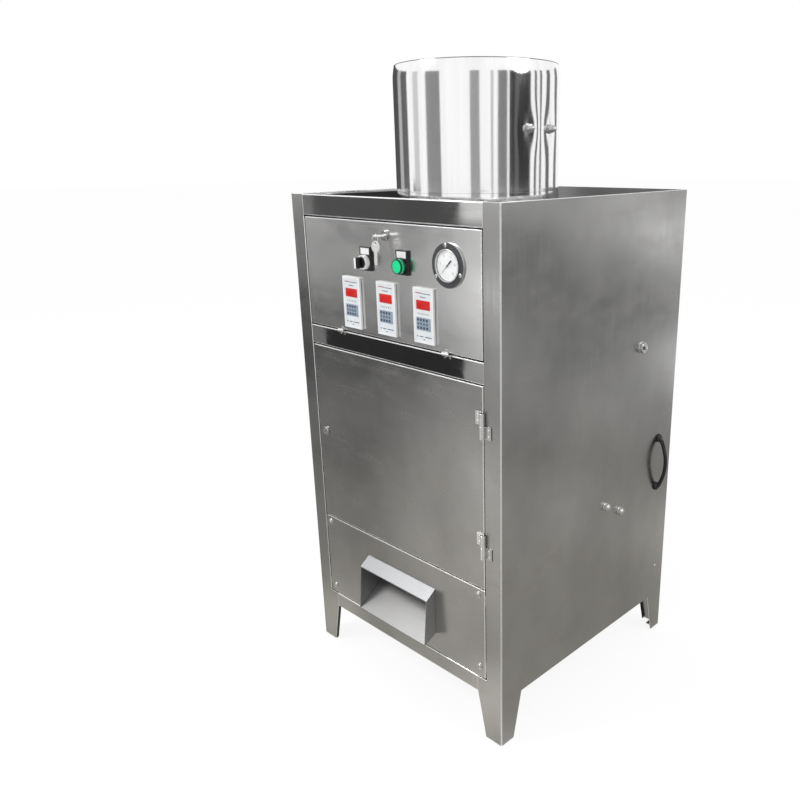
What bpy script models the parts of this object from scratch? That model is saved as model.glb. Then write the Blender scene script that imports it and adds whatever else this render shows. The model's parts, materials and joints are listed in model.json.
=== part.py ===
"""Garlic peeling machine: a free-standing cabinet of folded stainless sheet on four legs.

Cloves go into the round hopper, drop through the feed gate into the peeling chamber, are
tumbled there by jets of compressed air, and slide out of the chute when the discharge gate
opens. The skins leave by the duct at the back. Metres, +Z up, the front faces -Y. The origin
is the middle of the footprint, on the floor.
"""
import math

import bmesh
import bpy
from mathutils import Vector

# Sheet metal and clearances
SHEET = 0.0015
BEND_RADIUS = 0.002
GAP = 0.0003
PANEL_GAP = 0.002
BORE_CLEARANCE = 0.0003
OVERRUN = 0.004
PAN_DEPTH = 0.015
PAN_BEND = 0.002
RAIL_FLANGE = 0.012

# Cabinet
CABINET_WIDTH = 0.530
CABINET_DEPTH = 0.530
STILE_WIDTH = 0.036
SKIRT_HEIGHT = 0.090
BOTTOM_RAIL_HEIGHT = 0.032
LOWER_PANEL_HEIGHT = 0.178
DOOR_HEIGHT = 0.364
MIDDLE_RAIL_HEIGHT = 0.0365
CONTROL_PANEL_HEIGHT = 0.2015
TOP_RAIL_HEIGHT = 0.038
LEG_FRONT_TOP = 0.057
LEG_FRONT_FOOT = 0.038
LEG_SIDE_TOP = 0.054
LEG_SIDE_FOOT = 0.033
FOOT_PLATE = 0.020
FOOT_THICKNESS = 0.003

# Tray and hopper
TRAY_RECESS = 0.030
HOPPER_SETBACK = 0.230
DRUM_RADIUS = 0.149
DRUM_RISE = 0.216
DRUM_BEAD = 0.0015
DRUM_BEAD_HEIGHT = 0.004
CONE_RADIUS = 0.135
CONE_NECK = 0.012
DRUM_BOLT_HEIGHT = 0.107
DRUM_BOLT_ANGLE = math.radians(10.6)
DRUM_SHANK = 0.0045
DRUM_NUT = 0.0085
DRUM_NUT_HEIGHT = 0.006
DRUM_DOME = 0.0065
DRUM_WASHER = 0.0105
DRUM_WASHER_THICKNESS = 0.0016

# Gates
OUTLET_SHARE = 0.0604
GATE_MARGIN = 0.014
GATE_THICKNESS = 0.014
BLADE_THICKNESS = 0.004
BLADE_LAP = 0.007
BLADE_TAB = 0.008
BLADE_CLEARANCE = 0.0005
ROD_RADIUS = 0.004
ROD_TRAVEL_SPARE = 0.004
PISTON_RADIUS = 0.012
PISTON_LENGTH = 0.008
CYLINDER_RADIUS = 0.016
CYLINDER_CAP = 0.008
CYLINDER_BOSS = 0.010

# Peeling chamber
SHELF_HEIGHT = 0.430
SHELF_THICKNESS = 0.002
SHELF_FRONT = 0.060
SHELF_BACK = 0.350
SHELF_FLANGE = 0.014
CHAMBER_RADIUS = 0.090
CHAMBER_WALL = 0.002
CHAMBER_HEIGHT = 0.255
CHAMBER_FLANGE = 0.014
CHAMBER_FLANGE_THICKNESS = 0.003
CHAMBER_CONE = 0.045
CHAMBER_NECK_DROP = 0.020
LID_NECK = 0.050
RING_RADIUS = 0.007
RING_HEIGHT = 0.130
DUCT_RADIUS = 0.040
DUCT_HEIGHT = 0.210
DUCT_REACH = 0.040
DUCT_FLANGE = 0.007
DUCT_FLANGE_THICKNESS = 0.003

# Discharge chute
CHUTE_WIDTH = 0.192
CHUTE_OFFSET = 0.004
CHUTE_ANGLE = math.radians(36.4)
CHUTE_MOUTH_TOP = 0.1645
CHUTE_MOUTH_HEIGHT = 0.0835
CHUTE_SKIRT = 0.009
CHUTE_REACH = 0.0291
CANOPY_REACH = 0.0214
CHUTE_HEADROOM = 0.006
LUG_REACH = 0.012
LUG_HEIGHT = 0.020
LUG_INSET = 0.021

# Control panel and what it carries
TIMER_WIDTH = 0.049
TIMER_HEIGHT = 0.093
TIMER_REACH = 0.004
TIMER_BODY_INSET = 0.002
TIMER_BODY_DEPTH = 0.070
TIMER_SPACING = 0.0947
TIMER_OFFSET = 0.0034
TIMER_RISE = 0.0556
TIMER_BEVEL = 0.0015
SELECTOR_PLACE = -0.0468
SELECTOR_RISE = 0.132
BUTTON_PLACE = 0.0486
BUTTON_RISE = 0.133
SWITCH_HOLE = 0.011
SWITCH_BODY = 0.030
SWITCH_BODY_HEIGHT = 0.040
SWITCH_BODY_DEPTH = 0.045
LEGEND_WIDTH = 0.028
LEGEND_BELOW = 0.015
LEGEND_ABOVE = 0.026
LEGEND_THICKNESS = 0.0042
SELECTOR_BEZEL = 0.0124
SELECTOR_BEZEL_HEIGHT = 0.0083
BEZEL_CHAMFER = 0.0015
KNOB_RADIUS = 0.0095
KNOB_BASE = 0.003
KNOB_BAR_WIDTH = 0.0056
KNOB_BAR_HEIGHT = 0.0184
KNOB_REACH = 0.0277
BUTTON_BEZEL = 0.0136
BUTTON_BEZEL_HEIGHT = 0.005
BUTTON_RADIUS = 0.0123
BUTTON_REACH = 0.0165
BUTTON_TRAVEL = 0.004
GAUGE_INSET = 0.071
GAUGE_RISE = 0.1425
GAUGE_FLANGE = 0.0357
GAUGE_FLANGE_THICKNESS = 0.003
GAUGE_RIM = 0.0262
GAUGE_DIAL = 0.0245
GAUGE_REACH = 0.0065
GAUGE_BODY = 0.027
GAUGE_BODY_DEPTH = 0.034
GAUGE_PORT = 0.007
GAUGE_PORT_LENGTH = 0.018
DIAL_REACH = 0.0028
PIN_RADIUS = 0.0011
PIN_REACH = 0.0044
NEEDLE_THICKNESS = 0.0006
NEEDLE_REACH = 0.004
NEEDLE_LENGTH = 0.0155
NEEDLE_TAIL = 0.016
NEEDLE_HUB = 0.0028
NEEDLE_WIDTH = 0.0016
NEEDLE_TAIL_WIDTH = 0.0026
NEEDLE_TAIL_SHARE = 0.45
NEEDLE_REST = math.radians(225.0)
GLASS_THICKNESS = 0.001

# Locks, key and key ring
LOCK_OFFSET = 0.005
LOCK_RISE = 0.180
LOCK_BEZEL = 0.009
LOCK_BEZEL_HEIGHT = 0.0035
LOCK_BEZEL_CHAMFER = 0.0012
LOCK_BARREL = 0.0077
CAM_WIDTH = 0.012
CAM_THICKNESS = 0.002
CAM_GAP = 0.0025
CAM_TIP_CLEARANCE = 0.0012
DOOR_LOCK_INSET = 0.0216
DOOR_LOCK_RISE = 0.188
KEY_THICKNESS = 0.002
KEY_BOW_RADIUS = 0.010
KEY_BOW_CENTRE = 0.0143
KEY_HOLE_RADIUS = 0.0026
KEY_HOLE_REACH = 0.0172
KEY_BLADE_WIDTH = 0.0076
KEY_BLADE_DEPTH = 0.010
KEY_SLOT_CLEARANCE = 0.0004
RING_WIRE = 0.0008
RING_LOOP = 0.006
RING_RISE = 0.0027
SPARE_HOLE_INSET = 0.0035
SPARE_BLADE = 0.020

# Hinges
HINGE_RADIUS = 0.0045
HINGE_PIN = 0.0022
HINGE_HALF = 0.022
HINGE_LEAF = 0.017
HINGE_LEAF_THICKNESS = 0.0015
LOWER_HINGE_RISE = 0.084
UPPER_HINGE_DROP = 0.065
KNUCKLE_RADIUS = 0.003
KNUCKLE_PIN = 0.0012
KNUCKLE_HALF = 0.003
KNUCKLE_END = 0.008
KNUCKLE_TAB = 0.006
KNUCKLE_TAB_THICKNESS = 0.0012
LEFT_KNUCKLE = -0.131
RIGHT_KNUCKLE = 0.147

# Side fittings, from the front face and the floor
MANIFOLD_SETBACK = 0.3964
MANIFOLD_HEIGHT = 0.6658
SIDE_SHANK = 0.004
SIDE_NUT = 0.0095
SIDE_NUT_HEIGHT = 0.008
SIDE_BOLT_INSIDE = 0.016
MANIFOLD_LENGTH = 0.060
MANIFOLD_TALL = 0.068
MANIFOLD_THICK = 0.030
VALVE_COUNT = 3
VALVE_REACH = 0.036
VALVE_LENGTH = 0.034
VALVE_HEIGHT_SHARE = 0.72
REGULATOR_SETBACK = 0.322
REGULATOR_DROP = 0.073
REGULATOR_INSET = 0.065
REGULATOR_SIZE = 0.040
REGULATOR_TALL = 0.045
REGULATOR_ARM = 0.018
BOWL_RADIUS = 0.018
BOWL_LENGTH = 0.055
BRACKET_THICKNESS = 0.003
BRACKET_LENGTH = 0.078
BRACKET_TALL = 0.052
STUD_SPREAD = 0.0241
STUD_STEP = 0.0125
STUD_RADIUS = 0.003
STUD_NUT = 0.0065
STUD_NUT_HEIGHT = 0.007
KNOB_TURN_RADIUS = 0.015
KNOB_TURN_HEIGHT = 0.022
PIPE_RADIUS = 0.006
PIPE_BEND = 0.018
RISER_STANDOFF = 0.020
INLET_HEX = 0.011
INLET_NUT = 0.008
INLET_REACH = 0.024
INLET_NECK = 0.0075
INLET_BORE = 0.005
GLAND_X = -0.170
GLAND_HEIGHT = 0.150
GLAND_HEX = 0.012
GLAND_NECK = 0.008
GLAND_REACH = 0.020
GLAND_BORE = 0.0045
SUPPLY_DEPTH = 0.110
SUPPLY_THICK = 0.055
SUPPLY_TALL = 0.095
SUPPLY_SETBACK = 0.340
SUPPLY_HEIGHT = 0.475
DIN_RAIL = 0.0075
DIN_RAIL_TALL = 0.035

# Handles
HANDLE_INSET = 0.0494
HANDLE_LOW = 0.3543
HANDLE_SPAN = 0.106
HANDLE_REACH = 0.024
HANDLE_GRIP = 0.0045
HANDLE_FOOT = 0.010
HANDLE_FOOT_HEIGHT = 0.006

# Facets
DRUM_SEGMENTS = 64
WIDE_SEGMENTS = 48
SEGMENTS = 32
SMALL_SEGMENTS = 20
HEX = 6
TUBE_SIDES = 10
ARC_STEPS = 3
HANDLE_STEPS = 16
SHARP_ANGLE = math.radians(32.0)
ROUND_SHARE = 0.5
DIAGONAL_SHARE = math.sqrt(ROUND_SHARE)

# Derived heights, floor upwards
BOTTOM_RAIL_TOP = SKIRT_HEIGHT + BOTTOM_RAIL_HEIGHT
LOWER_PANEL_LOW = BOTTOM_RAIL_TOP + PANEL_GAP
LOWER_PANEL_TOP = LOWER_PANEL_LOW + LOWER_PANEL_HEIGHT
DOOR_LOW = LOWER_PANEL_TOP + PANEL_GAP
DOOR_TOP = DOOR_LOW + DOOR_HEIGHT
MIDDLE_RAIL_LOW = DOOR_TOP + PANEL_GAP
MIDDLE_RAIL_TOP = MIDDLE_RAIL_LOW + MIDDLE_RAIL_HEIGHT
CONTROL_LOW = MIDDLE_RAIL_TOP + PANEL_GAP
CONTROL_TOP = CONTROL_LOW + CONTROL_PANEL_HEIGHT
TOP_RAIL_LOW = CONTROL_TOP + PANEL_GAP
RIM_HEIGHT = TOP_RAIL_LOW + TOP_RAIL_HEIGHT
TRAY_TOP = RIM_HEIGHT - TRAY_RECESS
SHELF_LOW = SHELF_HEIGHT - SHELF_THICKNESS
REGULATOR_HEIGHT = SHELF_HEIGHT - REGULATOR_DROP

# Derived places across and along
HALF_WIDTH = CABINET_WIDTH / 2
INNER_FACE = HALF_WIDTH - SHEET - GAP
CORNER_INSET = BEND_RADIUS - (BEND_RADIUS - SHEET) * DIAGONAL_SHARE + GAP
DOOR_HALF = HALF_WIDTH - STILE_WIDTH - PANEL_GAP
FRONT_REACH = max(CHUTE_REACH, KNOB_REACH)
BACK_REACH = max(DUCT_REACH, INLET_REACH, GLAND_REACH)
FRONT = (FRONT_REACH - CABINET_DEPTH - BACK_REACH) / 2
BACK = FRONT + CABINET_DEPTH
BACK_OUTER = BACK - SHEET - GAP
BACK_INNER = BACK_OUTER - SHEET
HOPPER_Y = FRONT + HOPPER_SETBACK
OUTLET_RADIUS = CABINET_WIDTH * OUTLET_SHARE
BLADE_STROKE = 2 * OUTLET_RADIUS + BLADE_LAP
GATE_HALF = OUTLET_RADIUS + GATE_MARGIN

OUT = Vector((0, -1, 0))
IN = Vector((0, 1, 0))
UP = Vector((0, 0, 1))
RIGHT = Vector((1, 0, 0))
LEFT = Vector((-1, 0, 0))


def clear_scene():
    for item in list(bpy.data.objects):
        bpy.data.objects.remove(item)


def finish(name, colour, roughness, metallic=0.0, alpha=1.0):
    """A Principled material in one colour."""
    material = bpy.data.materials.new(name)
    material.use_nodes = True
    shader = material.node_tree.nodes["Principled BSDF"]
    shader.inputs["Base Color"].default_value = (*colour, 1.0)
    shader.inputs["Roughness"].default_value = roughness
    shader.inputs["Metallic"].default_value = metallic
    shader.inputs["Alpha"].default_value = alpha
    return material


def new_object(name, shape):
    """Turn a bmesh in world coordinates into an object whose origin is the shape's middle."""
    bmesh.ops.recalc_face_normals(shape, faces=shape.faces)
    low = Vector([min(vertex.co[axis] for vertex in shape.verts) for axis in range(3)])
    high = Vector([max(vertex.co[axis] for vertex in shape.verts) for axis in range(3)])
    centre = (low + high) / 2
    bmesh.ops.translate(shape, verts=shape.verts, vec=-centre)
    mesh = bpy.data.meshes.new(name)
    shape.to_mesh(mesh)
    shape.free()
    result = bpy.data.objects.new(name, mesh)
    result.location = centre
    bpy.context.collection.objects.link(result)
    return result


def add_part(name, shape, material, smooth=False):
    part = new_object(name, shape)
    part.data.materials.append(material)
    if smooth:
        part.data.shade_smooth()
        part.data.set_sharp_from_angle(angle=SHARP_ANGLE)
    return part


def combine(part, shape, operation):
    """Cut a shape out of a part, or join one to it, with a guide that follows the part."""
    guide = new_object(f"{part.name}_guide_{len(part.modifiers)}", shape)
    guide.hide_render = True
    guide.display_type = "WIRE"
    guide.parent = part
    guide.location -= part.location
    step = part.modifiers.new(guide.name, "BOOLEAN")
    step.operation = operation
    step.solver = "EXACT"
    step.object = guide


def cut(part, *shapes):
    for shape in shapes:
        combine(part, shape, "DIFFERENCE")


def fuse(part, *shapes):
    for shape in shapes:
        combine(part, shape, "UNION")


def pivot(name, place, parent=None):
    """An empty on a joint's axis."""
    empty = bpy.data.objects.new(name, None)
    bpy.context.collection.objects.link(empty)
    empty.location = place
    if parent:
        empty.parent = parent
        empty.location -= world_place(parent)
    return empty


def world_place(item):
    place = Vector(item.location)
    while item.parent:
        item = item.parent
        place += item.location
    return place


def hang(axis, *parts):
    for part in parts:
        part.parent = axis
        part.location -= world_place(axis)


def block(low, high):
    """A box between two corners, given in any order."""
    shape = bmesh.new()
    bmesh.ops.create_cube(shape, size=1)
    low, high = Vector(low), Vector(high)
    span = Vector([abs(high[axis] - low[axis]) for axis in range(3)])
    bmesh.ops.scale(shape, verts=shape.verts, vec=span)
    bmesh.ops.translate(shape, verts=shape.verts, vec=(low + high) / 2)
    return shape


def bevelled_block(low, high, width):
    shape = block(low, high)
    bmesh.ops.bevel(shape, geom=list(shape.edges), offset=width, segments=2, profile=ROUND_SHARE, affect="EDGES")
    return shape


def prism(outline, plane, start, end):
    """An outline in the plane XY, XZ or YZ, pushed along the third axis from start to end."""
    order = {"XY": (0, 1, 2), "XZ": (0, 2, 1), "YZ": (1, 2, 0)}[plane]
    shape = bmesh.new()
    loops = []
    for level in (start, end):
        loop = []
        for first, second in outline:
            place = Vector()
            place[order[0]] = first
            place[order[1]] = second
            place[order[2]] = level
            loop.append(shape.verts.new(place))
        loops.append(loop)
    for index in range(len(outline)):
        following = (index + 1) % len(outline)
        shape.faces.new((loops[0][index], loops[0][following], loops[1][following], loops[1][index]))
    shape.faces.new(loops[0])
    shape.faces.new(loops[1])
    return shape


def turned(profile, centre, direction, segments=SEGMENTS, closed=False):
    """A profile of (radius, distance) turned about a line through centre along direction.

    An open profile starts and ends on the line; a closed one is a ring.
    """
    shape = bmesh.new()
    centre, direction = Vector(centre), Vector(direction).normalized()
    side = direction.orthogonal().normalized() if abs(direction.z) < 1 else RIGHT.copy()
    other = direction.cross(side)
    rings = []
    for radius, distance in profile:
        base = centre + direction * distance
        if radius == 0:
            rings.append([shape.verts.new(base)])
            continue
        angles = [2 * math.pi * step / segments for step in range(segments)]
        rings.append([shape.verts.new(base + side * radius * math.cos(a) + other * radius * math.sin(a))
                      for a in angles])
    pairs = list(zip(rings, rings[1:]))
    if closed:
        pairs.append((rings[-1], rings[0]))
    for first, second in pairs:
        for step in range(segments):
            following = (step + 1) % segments
            corners = [first[step % len(first)], first[following % len(first)],
                       second[following % len(second)], second[step % len(second)]]
            face = [corner for place, corner in enumerate(corners) if corner not in corners[:place]]
            if len(face) > 2:
                shape.faces.new(face)
    return shape


def rod(radius, start, end, segments=SEGMENTS):
    """A plain round bar between two points, used for cuts and shanks."""
    start, end = Vector(start), Vector(end)
    length = (end - start).length
    profile = [(0, 0), (radius, 0), (radius, length), (0, length)]
    return turned(profile, start, end - start, segments)


def hoop(loop_radius, wire, centre, direction, segments=SEGMENTS, sides=8):
    """A closed ring of round wire."""
    angles = [2 * math.pi * step / sides for step in range(sides)]
    profile = [(loop_radius + wire * math.cos(a), wire * math.sin(a)) for a in angles]
    return turned(profile, centre, direction, segments, closed=True)


def swept(route, radius, sides=TUBE_SIDES):
    """A round bar along a route of points, with flat ends."""
    route = [Vector(point) for point in route]
    shape = bmesh.new()
    last = len(route) - 1
    heading = (route[1] - route[0]).normalized()
    side = heading.orthogonal().normalized()
    loops = []
    for index, point in enumerate(route):
        before = (point - route[index - 1]).normalized() if index else heading
        after = (route[index + 1] - point).normalized() if index < last else before
        middle = (before + after).normalized()
        side = (side - middle * side.dot(middle)).normalized()
        other = middle.cross(side)
        loop = []
        for step in range(sides):
            angle = 2 * math.pi * step / sides
            loop.append(shape.verts.new(point + radius * (side * math.cos(angle) + other * math.sin(angle))))
        loops.append(loop)
    for first, second in zip(loops, loops[1:]):
        for step in range(sides):
            following = (step + 1) % sides
            shape.faces.new((first[step], first[following], second[following], second[step]))
    shape.faces.new(loops[0])
    shape.faces.new(loops[-1])
    return shape


def rounded_route(corners, bend, steps=6):
    """A route through the corners with each inner corner turned on an arc of the bend radius."""
    corners = [Vector(corner) for corner in corners]
    route = [corners[0]]
    for before, corner, after in zip(corners, corners[1:], corners[2:]):
        back = (before - corner).normalized()
        onward = (after - corner).normalized()
        half = back.angle(onward) / 2
        tangent = bend / math.tan(half)
        centre = corner + (back + onward).normalized() * (bend / math.sin(half))
        start = corner + back * tangent - centre
        end = corner + onward * tangent - centre
        turn = start.angle(end)
        for step in range(steps + 1):
            share = step / steps
            mixed = start * math.sin((1 - share) * turn) + end * math.sin(share * turn)
            route.append(centre + mixed / math.sin(turn))
    route.append(corners[-1])
    return route


def arc(centre, radius, start, end, steps=ARC_STEPS):
    """Points on an arc, angles in degrees."""
    angles = [math.radians(start + (end - start) * step / steps) for step in range(steps + 1)]
    return [(centre[0] + radius * math.cos(a), centre[1] + radius * math.sin(a)) for a in angles]


def channel_outline(span, flange):
    """A sheet folded into a channel: the first value runs along the web, the second goes in."""
    near, far = (BEND_RADIUS, BEND_RADIUS), (span - BEND_RADIUS, BEND_RADIUS)
    inner = BEND_RADIUS - SHEET
    outer_side = [(0, flange)] + arc(near, BEND_RADIUS, 180, 270) + arc(far, BEND_RADIUS, 270, 360)
    inner_side = arc(far, inner, 360, 270) + arc(near, inner, 270, 180)
    return outer_side + [(span, flange), (span - SHEET, flange)] + inner_side + [(SHEET, flange)]


def rail(name, half_length, low, height, material):
    """A front rail: a channel whose web is flush with the cabinet's front face."""
    outline = [(FRONT + inward, low + along) for along, inward in channel_outline(height, RAIL_FLANGE)]
    return add_part(name, prism(outline, "YZ", -half_length, half_length), material)


def pan(name, half_width, low, high, material):
    """A door or panel: a front sheet with its four edges folded back."""
    shape = block((-half_width, FRONT, low), (half_width, FRONT + PAN_DEPTH, high))
    front_edges = [edge for edge in shape.edges
                   if min(vertex.co.y for vertex in edge.verts) < FRONT + PAN_DEPTH / 2]
    bmesh.ops.bevel(shape, geom=front_edges, offset=PAN_BEND, segments=2, profile=ROUND_SHARE, affect="EDGES")
    part = add_part(name, shape, material)
    cut(part, block((-half_width + SHEET, FRONT + SHEET, low + SHEET),
                    (half_width - SHEET, FRONT + PAN_DEPTH + OVERRUN, high - SHEET)))
    return part


def leg_width(foot, top, height):
    """A leg's width at a height, on the line from its foot to the skirt."""
    return foot + (top - foot) * height / SKIRT_HEIGHT


def side_panel(name, side, material):
    """Side sheet with its front and back flanges and its two legs in one folded piece."""
    outline = [(side * (HALF_WIDTH - inward), FRONT + along)
               for along, inward in channel_outline(CABINET_DEPTH, LEG_FRONT_TOP)]
    panel = add_part(name, prism(outline, "XY", 0, RIM_HEIGHT), material)
    inner_edge = side * (HALF_WIDTH - LEG_FRONT_TOP - OVERRUN)
    cut(panel, block((side * (HALF_WIDTH - STILE_WIDTH), FRONT - OVERRUN, BOTTOM_RAIL_TOP),
                     (inner_edge, BACK + OVERRUN, RIM_HEIGHT + OVERRUN)))
    front_line = [(side * (HALF_WIDTH - leg_width(LEG_FRONT_FOOT, LEG_FRONT_TOP, height)), height)
                  for height in (-OVERRUN, SKIRT_HEIGHT)]
    cut(panel, prism(front_line + [(inner_edge, SKIRT_HEIGHT), (inner_edge, -OVERRUN)],
                     "XZ", FRONT - OVERRUN, BACK + OVERRUN))
    low_width = leg_width(LEG_SIDE_FOOT, LEG_SIDE_TOP, -OVERRUN)
    side_cut = [(FRONT + low_width, -OVERRUN), (FRONT + LEG_SIDE_TOP, SKIRT_HEIGHT),
                (BACK - LEG_SIDE_TOP, SKIRT_HEIGHT), (BACK - low_width, -OVERRUN)]
    cut(panel, prism(side_cut, "YZ", side * (HALF_WIDTH + OVERRUN), side * (HALF_WIDTH - SHEET - OVERRUN)))
    for corner, inward in ((FRONT, 1), (BACK, -1)):
        fuse(panel, block((side * (HALF_WIDTH - SHEET / 2), corner + inward * SHEET / 2, 0),
                          (side * (HALF_WIDTH - FOOT_PLATE), corner + inward * FOOT_PLATE, FOOT_THICKNESS)))
    return panel


def build_cabinet(steel):
    side_panel("left_side_panel", -1, steel)
    right = side_panel("right_side_panel", 1, steel)
    bolt_line = Vector((HALF_WIDTH, FRONT + MANIFOLD_SETBACK, MANIFOLD_HEIGHT))
    cut(right, rod(SIDE_SHANK + BORE_CLEARANCE, bolt_line + LEFT * OVERRUN, bolt_line + RIGHT * OVERRUN,
                   SMALL_SEGMENTS))
    for place in stud_places():
        cut(right, rod(STUD_RADIUS + BORE_CLEARANCE, place + LEFT * OVERRUN, place + RIGHT * OVERRUN,
                       SMALL_SEGMENTS))
    between_stiles = HALF_WIDTH - STILE_WIDTH - GAP
    rail("top_front_rail", between_stiles, TOP_RAIL_LOW, TOP_RAIL_HEIGHT, steel)
    middle = rail("middle_rail", between_stiles, MIDDLE_RAIL_LOW, MIDDLE_RAIL_HEIGHT, steel)
    rail("bottom_front_rail", HALF_WIDTH - LEG_FRONT_TOP - GAP, SKIRT_HEIGHT, BOTTOM_RAIL_HEIGHT, steel)
    for place in (LEFT_KNUCKLE, RIGHT_KNUCKLE):
        add_rail_knuckles(middle, place)

    half = HALF_WIDTH - CORNER_INSET
    back = add_part("back_panel", block((-half, BACK_INNER, SKIRT_HEIGHT), (half, BACK_OUTER, RIM_HEIGHT)), steel)
    duct_line = duct_centre()
    through = IN * (BACK_OUTER + OVERRUN - duct_line.y)
    before = IN * (BACK_INNER - OVERRUN - duct_line.y)
    cut(back, rod(DUCT_RADIUS + BORE_CLEARANCE, duct_line + before, duct_line + through, WIDE_SEGMENTS))
    inlet = inlet_centre()
    cut(back, rod(INLET_NECK + BORE_CLEARANCE, inlet + IN * (BACK_INNER - OVERRUN - inlet.y),
                  inlet + IN * (BACK_OUTER + OVERRUN - inlet.y)))
    gland = Vector((GLAND_X, BACK_INNER, GLAND_HEIGHT))
    cut(back, rod(GLAND_NECK + BORE_CLEARANCE, gland + OUT * OVERRUN, gland + IN * (SHEET + OVERRUN)))

    base_low = SKIRT_HEIGHT + SHEET + GAP
    add_part("base_plate", block((-half, FRONT + CORNER_INSET, base_low),
                                 (half, BACK_INNER - GAP, base_low + SHEET)), steel)
    tray = add_part("top_tray", block((-half, FRONT + CORNER_INSET, TRAY_TOP - SHEET),
                                      (half, BACK_INNER - GAP, TRAY_TOP)), steel)
    centre = Vector((0, HOPPER_Y, TRAY_TOP))
    cut(tray, rod(CONE_RADIUS + GAP, centre - UP * (SHEET + OVERRUN), centre + UP * OVERRUN, WIDE_SEGMENTS))

    shelf_outline = [(INNER_FACE, SHELF_HEIGHT), (-INNER_FACE, SHELF_HEIGHT),
                     (-INNER_FACE, SHELF_LOW - SHELF_FLANGE),
                     (-INNER_FACE + SHELF_THICKNESS, SHELF_LOW - SHELF_FLANGE),
                     (-INNER_FACE + SHELF_THICKNESS, SHELF_LOW), (INNER_FACE - SHELF_THICKNESS, SHELF_LOW),
                     (INNER_FACE - SHELF_THICKNESS, SHELF_LOW - SHELF_FLANGE),
                     (INNER_FACE, SHELF_LOW - SHELF_FLANGE)]
    shelf = add_part("chamber_shelf", prism(shelf_outline, "XZ", FRONT + SHELF_FRONT, FRONT + SHELF_BACK), steel)
    centre = Vector((0, HOPPER_Y, SHELF_LOW))
    neck = OUTLET_RADIUS + CHAMBER_WALL + GAP
    cut(shelf, rod(neck, centre - UP * OVERRUN, centre + UP * (SHELF_THICKNESS + OVERRUN), WIDE_SEGMENTS))


def add_rail_knuckles(middle, place):
    """Fixed half of a small panel hinge: two end knuckles, the pin and their tabs."""
    inner = KNUCKLE_HALF + GAP
    profile = [(0, -KNUCKLE_END), (KNUCKLE_RADIUS, -KNUCKLE_END), (KNUCKLE_RADIUS, -inner), (KNUCKLE_PIN, -inner),
               (KNUCKLE_PIN, inner), (KNUCKLE_RADIUS, inner), (KNUCKLE_RADIUS, KNUCKLE_END), (0, KNUCKLE_END)]
    centre = Vector((place, *control_axis()))
    fuse(middle, turned(profile, centre, RIGHT, SMALL_SEGMENTS))
    for side in (-1, 1):
        fuse(middle, block((place + side * inner, FRONT - GAP - KNUCKLE_TAB_THICKNESS, centre.z),
                           (place + side * KNUCKLE_END, FRONT + SHEET / 2, MIDDLE_RAIL_TOP - KNUCKLE_TAB)))


def control_axis():
    """The control panel's hinge line, as (y, z)."""
    return FRONT - GAP - KNUCKLE_RADIUS, MIDDLE_RAIL_TOP + PANEL_GAP / 2


def stud_places():
    """Where the two studs of the regulator bracket come through the right side."""
    middle = Vector((HALF_WIDTH, FRONT + REGULATOR_SETBACK, REGULATOR_HEIGHT))
    step = Vector((0, STUD_SPREAD, -STUD_STEP))
    return middle - step, middle + step


def duct_centre():
    return Vector((0, HOPPER_Y, SHELF_HEIGHT + DUCT_HEIGHT))


def inlet_centre():
    return Vector((HALF_WIDTH - REGULATOR_INSET, FRONT + REGULATOR_SETBACK, REGULATOR_HEIGHT))


def drum_bolt(name, angle, drum, material):
    """Domed nut, washer, shank and inner nut through the hopper wall."""
    direction = Vector((math.cos(angle), math.sin(angle), 0))
    centre = Vector((0, HOPPER_Y, RIM_HEIGHT + DRUM_BOLT_HEIGHT))
    inside = DRUM_RADIUS - SHEET - 2 * GAP
    outside = DRUM_RADIUS + GAP
    washer = outside + DRUM_WASHER_THICKNESS
    nut = washer + DRUM_NUT_HEIGHT
    profile = [(0, inside - DRUM_NUT_HEIGHT / 2), (DRUM_NUT, inside - DRUM_NUT_HEIGHT / 2), (DRUM_NUT, inside),
               (DRUM_SHANK, inside), (DRUM_SHANK, outside), (DRUM_WASHER, outside), (DRUM_WASHER, washer),
               (DRUM_NUT, washer), (DRUM_NUT, nut)]
    profile += [(DRUM_DOME * math.cos(a), nut + DRUM_DOME * math.sin(a))
                for a in [math.pi / 2 * step / 4 for step in range(4)]]
    profile.append((0, nut + DRUM_DOME))
    add_part(name, turned(profile, centre, direction, SMALL_SEGMENTS), material, smooth=True)
    cut(drum, rod(DRUM_SHANK + BORE_CLEARANCE, centre + direction * (inside - OVERRUN),
                  centre + direction * (outside + OVERRUN), SMALL_SEGMENTS))


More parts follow.
